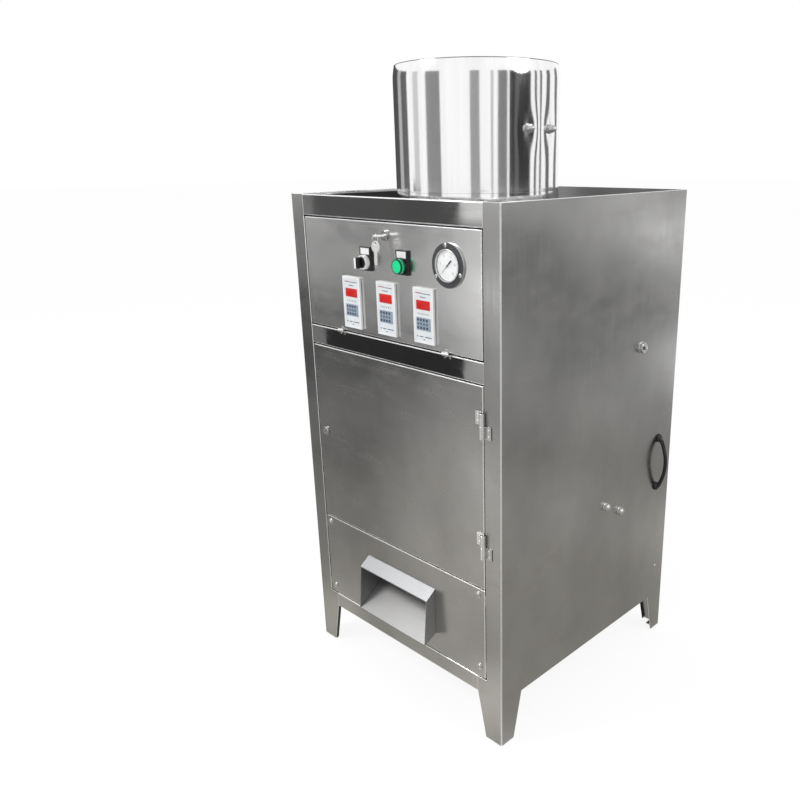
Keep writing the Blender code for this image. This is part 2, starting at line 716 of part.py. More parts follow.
def build_hopper(steel, polished):
    inner = DRUM_RADIUS - SHEET
    low = TRAY_TOP + GAP
    top = RIM_HEIGHT + DRUM_RISE
    bead_low = top - DRUM_BEAD_HEIGHT
    bead = DRUM_RADIUS + DRUM_BEAD
    profile = [(inner, low), (DRUM_RADIUS, low), (DRUM_RADIUS, bead_low), (bead, bead_low + DRUM_BEAD / 2),
               (bead, top - DRUM_BEAD / 2), (DRUM_RADIUS, top), (inner, top)]
    drum = add_part("hopper_drum", turned(profile, (0, HOPPER_Y, 0), UP, DRUM_SEGMENTS, closed=True),
                    polished, smooth=True)
    drum_bolt("drum_bolt_front", -DRUM_BOLT_ANGLE, drum, polished)
    drum_bolt("drum_bolt_rear", DRUM_BOLT_ANGLE, drum, polished)

    lip_low = TRAY_TOP + GAP
    lip_radius = inner - GAP
    neck_low = feed_gate_top() + GAP
    neck_top = neck_low + CONE_NECK
    neck_outer = OUTLET_RADIUS + SHEET
    cone_inner = CONE_RADIUS - SHEET
    profile = [(lip_radius, lip_low), (lip_radius, lip_low + SHEET), (cone_inner, lip_low + SHEET),
               (cone_inner, lip_low - 2 * SHEET), (OUTLET_RADIUS, neck_top), (OUTLET_RADIUS, neck_low),
               (neck_outer, neck_low), (neck_outer, neck_top), (CONE_RADIUS, lip_low - 2 * SHEET),
               (CONE_RADIUS, lip_low)]
    add_part("hopper_cone", turned(profile, (0, HOPPER_Y, 0), UP, WIDE_SEGMENTS, closed=True), steel, smooth=True)


def lid_low():
    return SHELF_HEIGHT + GAP + CHAMBER_HEIGHT + GAP


def feed_gate_top():
    return lid_low() + CHAMBER_FLANGE_THICKNESS + LID_NECK + GAP + GATE_THICKNESS


def discharge_gate_top():
    return SHELF_LOW - CHAMBER_NECK_DROP - GAP


def build_chamber(steel):
    base = SHELF_HEIGHT + GAP
    top = base + CHAMBER_HEIGHT
    inner = CHAMBER_RADIUS - CHAMBER_WALL
    flange = CHAMBER_RADIUS + CHAMBER_FLANGE
    flange_top = base + CHAMBER_FLANGE_THICKNESS
    neck = OUTLET_RADIUS + CHAMBER_WALL
    neck_low = SHELF_LOW - CHAMBER_NECK_DROP
    neck_top = base + CHAMBER_FLANGE_THICKNESS
    cone_top = base + CHAMBER_CONE
    profile = [(CHAMBER_RADIUS, top), (CHAMBER_RADIUS, flange_top), (flange, flange_top), (flange, base),
               (inner, base), (inner, cone_top - 2 * CHAMBER_WALL), (neck, neck_top), (neck, neck_low),
               (OUTLET_RADIUS, neck_low), (OUTLET_RADIUS, neck_top + CHAMBER_WALL), (inner, cone_top), (inner, top)]
    chamber = add_part("peeling_chamber", turned(profile, (0, HOPPER_Y, 0), UP, WIDE_SEGMENTS, closed=True),
                       steel, smooth=True)
    duct = duct_centre()
    cut(chamber, rod(DUCT_RADIUS - CHAMBER_WALL, duct, duct + IN * (CHAMBER_RADIUS + OVERRUN)))

    low = lid_low()
    profile = [(OUTLET_RADIUS, low), (flange, low), (flange, low + CHAMBER_FLANGE_THICKNESS),
               (neck, low + CHAMBER_FLANGE_THICKNESS), (neck, feed_gate_top() - GATE_THICKNESS - GAP),
               (OUTLET_RADIUS, feed_gate_top() - GATE_THICKNESS - GAP)]
    add_part("chamber_lid", turned(profile, (0, HOPPER_Y, 0), UP, WIDE_SEGMENTS, closed=True), steel, smooth=True)

    ring_centre = Vector((0, HOPPER_Y, SHELF_HEIGHT + RING_HEIGHT))
    add_part("air_ring", hoop(CHAMBER_RADIUS + GAP + RING_RADIUS, RING_RADIUS, ring_centre, UP, WIDE_SEGMENTS),
             steel, smooth=True)

    end = BACK + DUCT_REACH - HOPPER_Y
    start = CHAMBER_RADIUS / 2
    bore = DUCT_RADIUS - CHAMBER_WALL
    lip = DUCT_RADIUS + DUCT_FLANGE
    profile = [(bore, start), (DUCT_RADIUS, start), (DUCT_RADIUS, end - DUCT_FLANGE_THICKNESS),
               (lip, end - DUCT_FLANGE_THICKNESS), (lip, end), (bore, end)]
    exhaust = add_part("exhaust_duct", turned(profile, duct, IN, WIDE_SEGMENTS, closed=True), steel, smooth=True)
    reach = UP * (DUCT_RADIUS + OVERRUN)
    cut(exhaust, rod(CHAMBER_RADIUS + GAP, duct - reach, duct + reach, WIDE_SEGMENTS))


def build_gate(name, top, steel, aluminium):
    """A sliding gate under a round outlet, with its air cylinder on the left side panel."""
    low = top - GATE_THICKNESS
    middle = top - GATE_THICKNESS / 2
    housing = add_part(f"{name}_gate_housing", block((-GATE_HALF, HOPPER_Y - GATE_HALF, low),
                                                     (GATE_HALF, HOPPER_Y + GATE_HALF, top)), steel)
    centre = Vector((0, HOPPER_Y, middle))
    cut(housing, rod(OUTLET_RADIUS, centre - UP * GATE_THICKNESS, centre + UP * GATE_THICKNESS))
    blade_edge = OUTLET_RADIUS + BLADE_LAP
    slot = blade_edge + BLADE_CLEARANCE
    slot_half = BLADE_THICKNESS / 2 + BLADE_CLEARANCE
    cut(housing, block((-GATE_HALF - OVERRUN, HOPPER_Y - slot, middle - slot_half),
                       (slot, HOPPER_Y + slot, middle + slot_half)))

    blade_end = GATE_HALF + BLADE_TAB
    cylinder_front = blade_end + BLADE_STROKE + ROD_TRAVEL_SPARE
    piston_front = cylinder_front + CYLINDER_CAP + BLADE_CLEARANCE
    piston_back = piston_front + PISTON_LENGTH
    bore_back = piston_back + BLADE_STROKE + BLADE_CLEARANCE
    blade = add_part(f"{name}_gate", block((-blade_end, HOPPER_Y - blade_edge, middle - BLADE_THICKNESS / 2),
                                           (blade_edge, HOPPER_Y + blade_edge, middle + BLADE_THICKNESS / 2)), steel)
    start = GATE_HALF + BLADE_TAB / 2
    fuse(blade, turned([(0, start), (ROD_RADIUS, start), (ROD_RADIUS, piston_front), (PISTON_RADIUS, piston_front),
                        (PISTON_RADIUS, piston_back), (0, piston_back)], centre, LEFT, SMALL_SEGMENTS))
    hang(pivot(f"{name}_gate_line", centre), blade)

    bore = PISTON_RADIUS + BORE_CLEARANCE
    rod_bore = ROD_RADIUS + BORE_CLEARANCE
    back = bore_back + CYLINDER_CAP
    profile = [(rod_bore, cylinder_front), (CYLINDER_RADIUS, cylinder_front), (CYLINDER_RADIUS, back),
               (CYLINDER_BOSS, back), (CYLINDER_BOSS, INNER_FACE), (0, INNER_FACE), (0, bore_back),
               (bore, bore_back), (bore, cylinder_front + CYLINDER_CAP), (rod_bore, cylinder_front + CYLINDER_CAP)]
    ordered = profile[6:] + profile[:6]
    add_part(f"{name}_cylinder", turned(ordered, centre, LEFT), aluminium, smooth=True)


def chute_floor_height(depth):
    """Height of the chute's sloped floor at a depth behind the front face."""
    mouth = SKIRT_HEIGHT + CHUTE_MOUTH_TOP - CHUTE_MOUTH_HEIGHT
    return mouth + depth * math.tan(CHUTE_ANGLE)


def chute_canopy_height(depth):
    return chute_floor_height(depth) + CHUTE_MOUTH_HEIGHT


def build_chute(steel):
    """Sloped floor between the cheeks of a folded hood."""
    thick = SHEET / math.cos(CHUTE_ANGLE)
    slope = math.tan(CHUTE_ANGLE)
    ceiling = discharge_gate_top() - GATE_THICKNESS - CHUTE_HEADROOM
    mouth = chute_floor_height(0)
    back = (ceiling - mouth) / slope
    canopy_back = back - CHUTE_MOUTH_HEIGHT / slope
    half = CHUTE_WIDTH / 2
    left, right = CHUTE_OFFSET - half, CHUTE_OFFSET + half
    lip = -CHUTE_REACH

    floor_outline = [(FRONT + depth, chute_floor_height(depth) - drop)
                     for depth, drop in ((lip, 0), (back, 0), (back, thick), (lip, thick))]
    inner = SHEET + GAP
    add_part("chute_floor", prism(floor_outline, "YZ", left + inner, right - inner), steel)

    canopy_outline = [(FRONT + depth, chute_canopy_height(depth) - drop)
                      for depth, drop in ((-CANOPY_REACH, 0), (canopy_back, 0), (canopy_back, thick),
                                          (-CANOPY_REACH, thick))]
    hood = add_part("chute_hood", prism(canopy_outline, "YZ", left, right), steel)
    cheek = [(FRONT - CANOPY_REACH, chute_canopy_height(-CANOPY_REACH)), (FRONT + canopy_back, ceiling),
             (FRONT + back, ceiling), (FRONT + back, ceiling - CHUTE_SKIRT), (FRONT, mouth - CHUTE_SKIRT),
             (FRONT + lip, chute_floor_height(lip) - thick)]
    fuse(hood, prism(cheek, "YZ", left, left + SHEET), prism(cheek, "YZ", right - SHEET, right))


def build_lower_panel(steel):
    """Pan with the chute's window, held by four lugs behind the stiles."""
    panel = pan("lower_panel", DOOR_HALF, LOWER_PANEL_LOW, LOWER_PANEL_TOP, steel)
    half = CHUTE_WIDTH / 2 + GAP
    cut(panel, block((CHUTE_OFFSET - half, FRONT - OVERRUN, chute_floor_height(0) - CHUTE_SKIRT - GAP),
                     (CHUTE_OFFSET + half, FRONT + SHEET + OVERRUN, chute_canopy_height(SHEET) + GAP)))
    lug_front = FRONT + SHEET + GAP
    for side in (-1, 1):
        for height in (LOWER_PANEL_LOW + LUG_INSET, LOWER_PANEL_TOP - LUG_INSET):
            fuse(panel, block((side * (DOOR_HALF - SHEET / 2), lug_front, height - LUG_HEIGHT / 2),
                              (side * (DOOR_HALF + LUG_REACH), lug_front + SHEET, height + LUG_HEIGHT / 2)))


def door_axis():
    """The door's hinge line, as (x, y)."""
    return DOOR_HALF + PANEL_GAP / 2, FRONT - GAP - HINGE_RADIUS


def lock_shape(centre, cam_direction, cam_reach):
    """Collar and barrel of a cam lock, and the cam on its back end."""
    back = PAN_DEPTH + CAM_GAP
    profile = [(0, -LOCK_BEZEL_HEIGHT), (LOCK_BEZEL - LOCK_BEZEL_CHAMFER, -LOCK_BEZEL_HEIGHT),
               (LOCK_BEZEL, LOCK_BEZEL_CHAMFER - LOCK_BEZEL_HEIGHT), (LOCK_BEZEL, -GAP), (LOCK_BARREL, -GAP),
               (LOCK_BARREL, back), (0, back)]
    barrel = turned(profile, centre, IN, SEGMENTS)
    across = IN.cross(cam_direction)
    start = centre + IN * (back - CAM_THICKNESS) - cam_direction * CAM_WIDTH / 2 - across * CAM_WIDTH / 2
    end = centre + IN * back + cam_direction * cam_reach + across * CAM_WIDTH / 2
    return barrel, block(start, end)


def build_door(steel, chrome):
    door = pan("door", DOOR_HALF, DOOR_LOW, DOOR_TOP, steel)
    lock_centre = Vector((-DOOR_HALF + DOOR_LOCK_INSET, FRONT, DOOR_LOW + DOOR_LOCK_RISE))
    cut(door, rod(LOCK_BARREL + BORE_CLEARANCE, lock_centre + OUT * OVERRUN, lock_centre + IN * (SHEET + OVERRUN)))
    barrel, cam = lock_shape(lock_centre, LEFT, DOOR_LOCK_INSET - CAM_TIP_CLEARANCE)
    lock = add_part("door_lock", barrel, chrome, smooth=True)
    fuse(lock, cam)

    axis_x, axis_y = door_axis()
    middle = (DOOR_LOW + DOOR_TOP) / 2
    door_pivot = pivot("door_pivot", (axis_x, axis_y, middle))
    hang(door_pivot, door)
    hang(pivot("door_lock_pivot", lock_centre, door_pivot), lock)
    heights = {"lower": DOOR_LOW + LOWER_HINGE_RISE, "upper": DOOR_TOP - UPPER_HINGE_DROP}
    face_back = FRONT - GAP
    face_front = face_back - HINGE_LEAF_THICKNESS
    for name, height in heights.items():
        low, high = height - HINGE_HALF, height + HINGE_HALF
        foot = Vector((axis_x, axis_y, low))
        post = add_part(f"{name}_hinge_post", turned([(0, 0), (HINGE_RADIUS, 0), (HINGE_RADIUS, HINGE_HALF),
                                                      (HINGE_PIN, HINGE_HALF), (HINGE_PIN, 2 * HINGE_HALF),
                                                      (0, 2 * HINGE_HALF)], foot, UP, SMALL_SEGMENTS),
                        chrome, smooth=True)
        fuse(post, block((axis_x, face_front, low), (axis_x + HINGE_LEAF, face_back, height)))
        bore = HINGE_PIN + BORE_CLEARANCE
        leaf = add_part(f"{name}_hinge_leaf", turned([(bore, HINGE_HALF + GAP), (HINGE_RADIUS, HINGE_HALF + GAP),
                                                      (HINGE_RADIUS, 2 * HINGE_HALF), (bore, 2 * HINGE_HALF)],
                                                     foot, UP, SMALL_SEGMENTS, closed=True), chrome, smooth=True)
        fuse(leaf, block((axis_x, face_front, height + GAP), (axis_x - HINGE_LEAF, face_back, high)))
        hang(door_pivot, leaf)


def timer_centre(index):
    return Vector((TIMER_OFFSET + (index - 1) * TIMER_SPACING, FRONT, CONTROL_LOW + TIMER_RISE))


def selector_centre():
    return Vector((SELECTOR_PLACE, FRONT, CONTROL_LOW + SELECTOR_RISE))


def button_centre():
    return Vector((BUTTON_PLACE, FRONT, CONTROL_LOW + BUTTON_RISE))


def gauge_centre():
    return Vector((DOOR_HALF - GAUGE_INSET, FRONT, CONTROL_LOW + GAUGE_RISE))


def lock_centre():
    return Vector((LOCK_OFFSET, FRONT, CONTROL_LOW + LOCK_RISE))


def timer_body(centre, clearance, front, back):
    half_width = TIMER_WIDTH / 2 - TIMER_BODY_INSET + clearance
    half_height = TIMER_HEIGHT / 2 - TIMER_BODY_INSET + clearance
    return block(centre + Vector((-half_width, front, -half_height)), centre + Vector((half_width, back, half_height)))


def build_control_panel(steel):
    panel = pan("control_panel", DOOR_HALF, CONTROL_LOW, CONTROL_TOP, steel)
    through = IN * (SHEET + OVERRUN)
    for index in range(3):
        cut(panel, timer_body(timer_centre(index), BORE_CLEARANCE, -OVERRUN, SHEET + OVERRUN))
    for centre in (selector_centre(), button_centre()):
        cut(panel, rod(SWITCH_HOLE + BORE_CLEARANCE, centre + OUT * OVERRUN, centre + through))
    cut(panel, rod(GAUGE_BODY + BORE_CLEARANCE, gauge_centre() + OUT * OVERRUN, gauge_centre() + through))
    cut(panel, rod(LOCK_BARREL + BORE_CLEARANCE, lock_centre() + OUT * OVERRUN, lock_centre() + through))
    axis_y, axis_z = control_axis()
    bore = KNUCKLE_PIN + BORE_CLEARANCE
    for place in (LEFT_KNUCKLE, RIGHT_KNUCKLE):
        ring = [(bore, -KNUCKLE_HALF), (KNUCKLE_RADIUS, -KNUCKLE_HALF), (KNUCKLE_RADIUS, KNUCKLE_HALF),
                (bore, KNUCKLE_HALF)]
        fuse(panel, turned(ring, (place, axis_y, axis_z), RIGHT, SMALL_SEGMENTS, closed=True))
        fuse(panel, block((place - KNUCKLE_HALF, FRONT - GAP - KNUCKLE_TAB_THICKNESS, axis_z),
                          (place + KNUCKLE_HALF, FRONT + SHEET / 2, CONTROL_LOW + KNUCKLE_TAB)))
    panel_pivot = pivot("control_panel_pivot", (0, axis_y, axis_z))
    hang(panel_pivot, panel)
    return panel_pivot


def build_timers(panel_pivot, white):
    for index in range(3):
        centre = timer_centre(index)
        low = centre + Vector((-TIMER_WIDTH / 2, -GAP - TIMER_REACH, -TIMER_HEIGHT / 2))
        high = centre + Vector((TIMER_WIDTH / 2, -GAP, TIMER_HEIGHT / 2))
        timer = add_part(f"timer_{index + 1}", bevelled_block(low, high, TIMER_BEVEL), white)
        fuse(timer, timer_body(centre, 0, -TIMER_REACH / 2, TIMER_BODY_DEPTH))
        hang(panel_pivot, timer)


def switch_base(name, centre, bezel_profile, material):
    """Legend plate, bezel, neck through the panel and contact block behind it."""
    plate_back = -GAP
    plate_front = plate_back - LEGEND_THICKNESS
    base = add_part(name, block(centre + Vector((-LEGEND_WIDTH / 2, plate_front, -LEGEND_BELOW)),
                                centre + Vector((LEGEND_WIDTH / 2, plate_back, LEGEND_ABOVE))), material)
    fuse(base, turned(bezel_profile, centre, OUT))
    fuse(base, rod(SWITCH_HOLE, centre + OUT * LEGEND_THICKNESS / 2, centre + IN * PAN_DEPTH / 2))
    half = SWITCH_BODY / 2
    fuse(base, block(centre + Vector((-half, SHEET + GAP, -SWITCH_BODY_HEIGHT / 2)),
                     centre + Vector((half, SWITCH_BODY_DEPTH, SWITCH_BODY_HEIGHT / 2))))
    return base


def build_switches(panel_pivot, black, green):
    face = GAP + LEGEND_THICKNESS
    inside = face - LEGEND_THICKNESS / 2
    centre = selector_centre()
    top = face + SELECTOR_BEZEL_HEIGHT
    base = switch_base("selector_base", centre, [(0, inside), (SELECTOR_BEZEL, inside), (SELECTOR_BEZEL, face),
                                                 (SELECTOR_BEZEL, top - BEZEL_CHAMFER),
                                                 (SELECTOR_BEZEL - BEZEL_CHAMFER, top), (0, top)], black)
    low = top + GAP
    knob = add_part("selector_knob", turned([(0, low), (KNOB_RADIUS, low), (KNOB_RADIUS, low + KNOB_BASE),
                                             (0, low + KNOB_BASE)], centre, OUT), black, smooth=True)
    fuse(knob, block(centre + Vector((-KNOB_BAR_WIDTH / 2, -low - KNOB_BASE / 2, -KNOB_BAR_HEIGHT / 2)),
                     centre + Vector((KNOB_BAR_WIDTH / 2, -KNOB_REACH, KNOB_BAR_HEIGHT / 2))))
    hang(panel_pivot, base)
    hang(pivot("selector_pivot", centre, panel_pivot), knob)

    centre = button_centre()
    top = face + BUTTON_BEZEL_HEIGHT
    base = switch_base("button_base", centre, [(0, inside), (BUTTON_BEZEL, inside), (BUTTON_BEZEL, top),
                                               (0, top)], black)
    recess = GAP + SHEET
    cut(base, rod(BUTTON_RADIUS + BORE_CLEARANCE, centre + OUT * recess, centre + OUT * (top + OVERRUN)))
    back = recess + GAP + BUTTON_TRAVEL
    edge = BUTTON_REACH - SHEET
    button = add_part("green_button", turned([(0, back), (BUTTON_RADIUS, back), (BUTTON_RADIUS, edge),
                                              (BUTTON_RADIUS - SHEET, BUTTON_REACH), (0, BUTTON_REACH)],
                                             centre, OUT), green, smooth=True)
    hang(panel_pivot, base)
    hang(pivot("button_line", centre, panel_pivot), button)


def build_gauge(panel_pivot, black, glass):
    centre = gauge_centre()
    port = -GAUGE_BODY_DEPTH - GAUGE_PORT_LENGTH
    flange = GAP + GAUGE_FLANGE_THICKNESS
    profile = [(0, port), (GAUGE_PORT, port), (GAUGE_PORT, -GAUGE_BODY_DEPTH), (GAUGE_BODY, -GAUGE_BODY_DEPTH),
               (GAUGE_BODY, GAP), (GAUGE_FLANGE, GAP), (GAUGE_FLANGE, flange), (GAUGE_RIM, flange),
               (GAUGE_RIM, GAUGE_REACH - SHEET / 2), (GAUGE_RIM - SHEET / 2, GAUGE_REACH),
               (GAUGE_DIAL, GAUGE_REACH), (GAUGE_DIAL, DIAL_REACH), (PIN_RADIUS, DIAL_REACH),
               (PIN_RADIUS, PIN_REACH), (0, PIN_REACH)]
    case = add_part("gauge_case", turned(profile, centre, OUT), black, smooth=True)
    glass_back = GAUGE_REACH - SHEET / 2 - GLASS_THICKNESS
    glass_radius = GAUGE_DIAL - GAP
    pane = add_part("gauge_glass", turned([(0, glass_back), (glass_radius, glass_back),
                                           (glass_radius, glass_back + GLASS_THICKNESS),
                                           (0, glass_back + GLASS_THICKNESS)], centre, OUT), glass)
    front = NEEDLE_REACH
    back = front - NEEDLE_THICKNESS
    bore = PIN_RADIUS + BORE_CLEARANCE
    needle = add_part("gauge_needle", turned([(bore, back), (NEEDLE_HUB, back), (NEEDLE_HUB, front), (bore, front)],
                                             centre, OUT, SMALL_SEGMENTS, closed=True), black)
    pointing = Vector((math.sin(NEEDLE_REST), math.cos(NEEDLE_REST)))
    across = Vector((pointing.y, -pointing.x)) * NEEDLE_WIDTH / 2
    middle = Vector((centre.x, centre.z))
    inner = (bore + NEEDLE_HUB) / 2
    blade = [middle + pointing * inner - across, middle + pointing * NEEDLE_LENGTH,
             middle + pointing * inner + across]
    wide = across.normalized() * NEEDLE_TAIL_WIDTH / 2
    neck = middle - pointing * NEEDLE_TAIL * NEEDLE_TAIL_SHARE
    end = middle - pointing * NEEDLE_TAIL
    tail = [middle - pointing * inner - across, neck - across, neck - wide, end - wide,
            end + wide, neck + wide, neck + across, middle - pointing * inner + across]
    for outline in (blade, tail):
        fuse(needle, prism(outline, "XZ", centre.y - front, centre.y - back))
    hang(panel_pivot, case, pane)
    hang(pivot("gauge_needle_pivot", centre, panel_pivot), needle)


def key_outline(middle, bow, blade_end):
    """Key seen flat, as (across, along): a round bow and a straight blade."""
    half = KEY_BLADE_WIDTH / 2
    meet = math.degrees(math.asin(half / bow))
    outline = arc((0, middle), bow, -90 + meet, 270 - meet, steps=SMALL_SEGMENTS)
    return outline + [(-half, blade_end), (half, blade_end)]


def build_lock_and_key(panel_pivot, chrome):
    centre = lock_centre()
    barrel, cam = lock_shape(centre, UP, CONTROL_PANEL_HEIGHT - LOCK_RISE - CAM_TIP_CLEARANCE)
    lock = add_part("panel_lock", barrel, chrome, smooth=True)
    fuse(lock, cam)
    slot_half = Vector((KEY_BLADE_WIDTH / 2 + KEY_SLOT_CLEARANCE, 0, KEY_THICKNESS / 2 + KEY_SLOT_CLEARANCE))
    cut(lock, block(centre - slot_half + OUT * (LOCK_BEZEL_HEIGHT + OVERRUN),
                    centre + slot_half + IN * (KEY_BLADE_DEPTH + KEY_SLOT_CLEARANCE)))

    half = KEY_THICKNESS / 2
    outline = [(centre.x + across, centre.y - along)
               for across, along in key_outline(KEY_BOW_CENTRE, KEY_BOW_RADIUS, -KEY_BLADE_DEPTH)]
    key = add_part("panel_key", prism(outline, "XY", centre.z - half, centre.z + half), chrome)
    hole = centre + OUT * KEY_HOLE_REACH
    cut(key, rod(KEY_HOLE_RADIUS, hole - UP * OVERRUN, hole + UP * OVERRUN, SMALL_SEGMENTS))

    drop = RING_LOOP - RING_RISE
    ring_centre = hole + OUT * math.sqrt(RING_LOOP ** 2 - drop ** 2) - UP * drop
    ring = add_part("key_ring", hoop(RING_LOOP, RING_WIRE, ring_centre, RIGHT, SMALL_SEGMENTS, sides=6),
                    chrome, smooth=True)
    wire = ring_centre - UP * RING_LOOP
    spare_hole = wire - UP * (KEY_HOLE_RADIUS - RING_WIRE - GAP)
    bow_middle = spare_hole.z - (KEY_BOW_RADIUS - SPARE_HOLE_INSET)
    blade_end = bow_middle - KEY_BOW_RADIUS - SPARE_BLADE
    outline = [(centre.x + across, along) for across, along in key_outline(bow_middle, KEY_BOW_RADIUS, blade_end)]
    spare = add_part("spare_key", prism(outline, "XZ", wire.y - half, wire.y + half), chrome)
    cut(spare, rod(KEY_HOLE_RADIUS, spare_hole + OUT * OVERRUN, spare_hole + IN * OVERRUN, SMALL_SEGMENTS))

    lock_pivot = pivot("panel_lock_pivot", centre, panel_pivot)
    hang(lock_pivot, lock, key)
    ring_pivot = pivot("key_ring_pivot", hole, lock_pivot)
    hang(ring_pivot, ring)
    hang(pivot("spare_key_pivot", wire, ring_pivot), spare)


def build_manifold(aluminium, chrome):
    """Block on the right side panel with its valves, held by the large side bolt."""
    y = FRONT + MANIFOLD_SETBACK
    low = MANIFOLD_HEIGHT - MANIFOLD_TALL / 2
    wall = INNER_FACE
    face = wall - MANIFOLD_THICK
    manifold = add_part("valve_manifold", block((face, y - MANIFOLD_LENGTH / 2, low),
                                                (wall, y + MANIFOLD_LENGTH / 2, low + MANIFOLD_TALL)), aluminium)
    pitch = MANIFOLD_TALL / VALVE_COUNT
    for index in range(VALVE_COUNT):
        middle = low + pitch * (index + 1 / 2)
        half = pitch * VALVE_HEIGHT_SHARE / 2
        fuse(manifold, block((face - VALVE_REACH, y - VALVE_LENGTH / 2, middle - half),
                             (face + MANIFOLD_THICK / 2, y + VALVE_LENGTH / 2, middle + half)))
    centre = Vector((0, y, MANIFOLD_HEIGHT))
    cut(manifold, rod(SIDE_SHANK + BORE_CLEARANCE, centre + RIGHT * (wall - SIDE_BOLT_INSIDE - GAP),
                      centre + RIGHT * (wall + OVERRUN), SMALL_SEGMENTS))
    outside = HALF_WIDTH + GAP
    nut = outside + SIDE_NUT_HEIGHT
    profile = [(0, wall - SIDE_BOLT_INSIDE), (SIDE_SHANK, wall - SIDE_BOLT_INSIDE), (SIDE_SHANK, outside),
               (SIDE_NUT, outside), (SIDE_NUT, nut), (SIDE_SHANK, nut), (SIDE_SHANK, nut + SIDE_NUT_HEIGHT / 2),
               (0, nut + SIDE_NUT_HEIGHT / 2)]
    add_part("side_bolt", turned(profile, centre, RIGHT, 2 * HEX), chrome)


def build_regulator(aluminium, black):
    """Filter regulator on a bracket whose two studs come through the right side panel."""
    middle = inlet_centre()
    half = REGULATOR_SIZE / 2
    tall = REGULATOR_TALL / 2
    body = add_part("filter_regulator", bevelled_block(middle - Vector((half, half, tall)),
                                                       middle + Vector((half, half, tall)), SHEET), aluminium)
    arm = REGULATOR_ARM / 2
    fuse(body, block((middle.x + half / 2, middle.y - arm, middle.z - arm),
                     (INNER_FACE - BRACKET_THICKNESS / 2, middle.y + arm, middle.z + arm)))
    fuse(body, block((INNER_FACE - BRACKET_THICKNESS, middle.y - BRACKET_LENGTH / 2, middle.z - BRACKET_TALL / 2),
                     (INNER_FACE, middle.y + BRACKET_LENGTH / 2, middle.z + BRACKET_TALL / 2)))
    bowl_top = -tall + SHEET
    bowl_low = -tall - BOWL_LENGTH
    fuse(body, turned([(0, bowl_top), (BOWL_RADIUS, bowl_top), (BOWL_RADIUS, bowl_low + BOWL_RADIUS / 2),
                       (BOWL_RADIUS / 2, bowl_low), (0, bowl_low)], middle, UP, SMALL_SEGMENTS))
    for place in stud_places():
        start = INNER_FACE - BRACKET_THICKNESS / 2 - HALF_WIDTH
        nut = GAP + STUD_NUT_HEIGHT
        fuse(body, turned([(0, start), (STUD_RADIUS, start), (STUD_RADIUS, GAP), (STUD_NUT, GAP), (STUD_NUT, nut),
                           (STUD_RADIUS, nut + STUD_RADIUS), (0, nut + STUD_RADIUS)],
                          place, RIGHT, 2 * HEX))
    top = middle + UP * (tall + GAP)
    knob = add_part("regulator_knob", turned([(0, 0), (KNOB_TURN_RADIUS, 0), (KNOB_TURN_RADIUS, KNOB_TURN_HEIGHT - SHEET),
                                              (KNOB_TURN_RADIUS - SHEET, KNOB_TURN_HEIGHT), (0, KNOB_TURN_HEIGHT)],
                                             top, UP, SMALL_SEGMENTS), black, smooth=True)
    hang(pivot("regulator_knob_pivot", top), knob)


def build_pipes(steel, brass):
    inlet = inlet_centre()
    half = REGULATOR_SIZE / 2
    start = half + GAP
    wall_in = BACK_INNER - inlet.y - GAP
    wall_out = BACK_OUTER - inlet.y + GAP
    end = BACK + INLET_REACH - inlet.y
    profile = [(0, start), (PIPE_RADIUS, start), (PIPE_RADIUS, wall_in - INLET_NUT), (INLET_HEX, wall_in - INLET_NUT),
               (INLET_HEX, wall_in), (INLET_NECK, wall_in), (INLET_NECK, wall_out), (INLET_HEX, wall_out),
               (INLET_HEX, wall_out + INLET_NUT), (INLET_NECK, wall_out + INLET_NUT), (INLET_NECK, end),
               (INLET_BORE, end), (INLET_BORE, wall_out + INLET_NUT), (0, wall_out + INLET_NUT)]
    add_part("supply_pipe", turned(profile, inlet, IN, 2 * HEX), brass)

    manifold_y = FRONT + MANIFOLD_SETBACK
    manifold_low = MANIFOLD_HEIGHT - MANIFOLD_TALL / 2
    port_x = INNER_FACE - MANIFOLD_THICK / 2
    side_x = inlet.x - half - RISER_STANDOFF
    turn_height = manifold_low - 2 * PIPE_BEND
    corners = [(inlet.x - half - GAP, inlet.y, inlet.z), (side_x, inlet.y, inlet.z),
               (side_x, manifold_y, inlet.z), (side_x, manifold_y, turn_height),
               (port_x, manifold_y, turn_height), (port_x, manifold_y, manifold_low - GAP)]
    add_part("riser_pipe", swept(rounded_route(corners, PIPE_BEND), PIPE_RADIUS), steel, smooth=True)

    ring_edge = CHAMBER_RADIUS + 2 * (GAP + RING_RADIUS)
    ring_height = SHELF_HEIGHT + RING_HEIGHT
    corners = [(port_x, manifold_y - MANIFOLD_LENGTH / 2 - GAP, MANIFOLD_HEIGHT), (port_x, HOPPER_Y, MANIFOLD_HEIGHT),
               (port_x, HOPPER_Y, ring_height), (ring_edge, HOPPER_Y, ring_height)]
    add_part("chamber_pipe", swept(rounded_route(corners, PIPE_BEND), PIPE_RADIUS), steel, smooth=True)


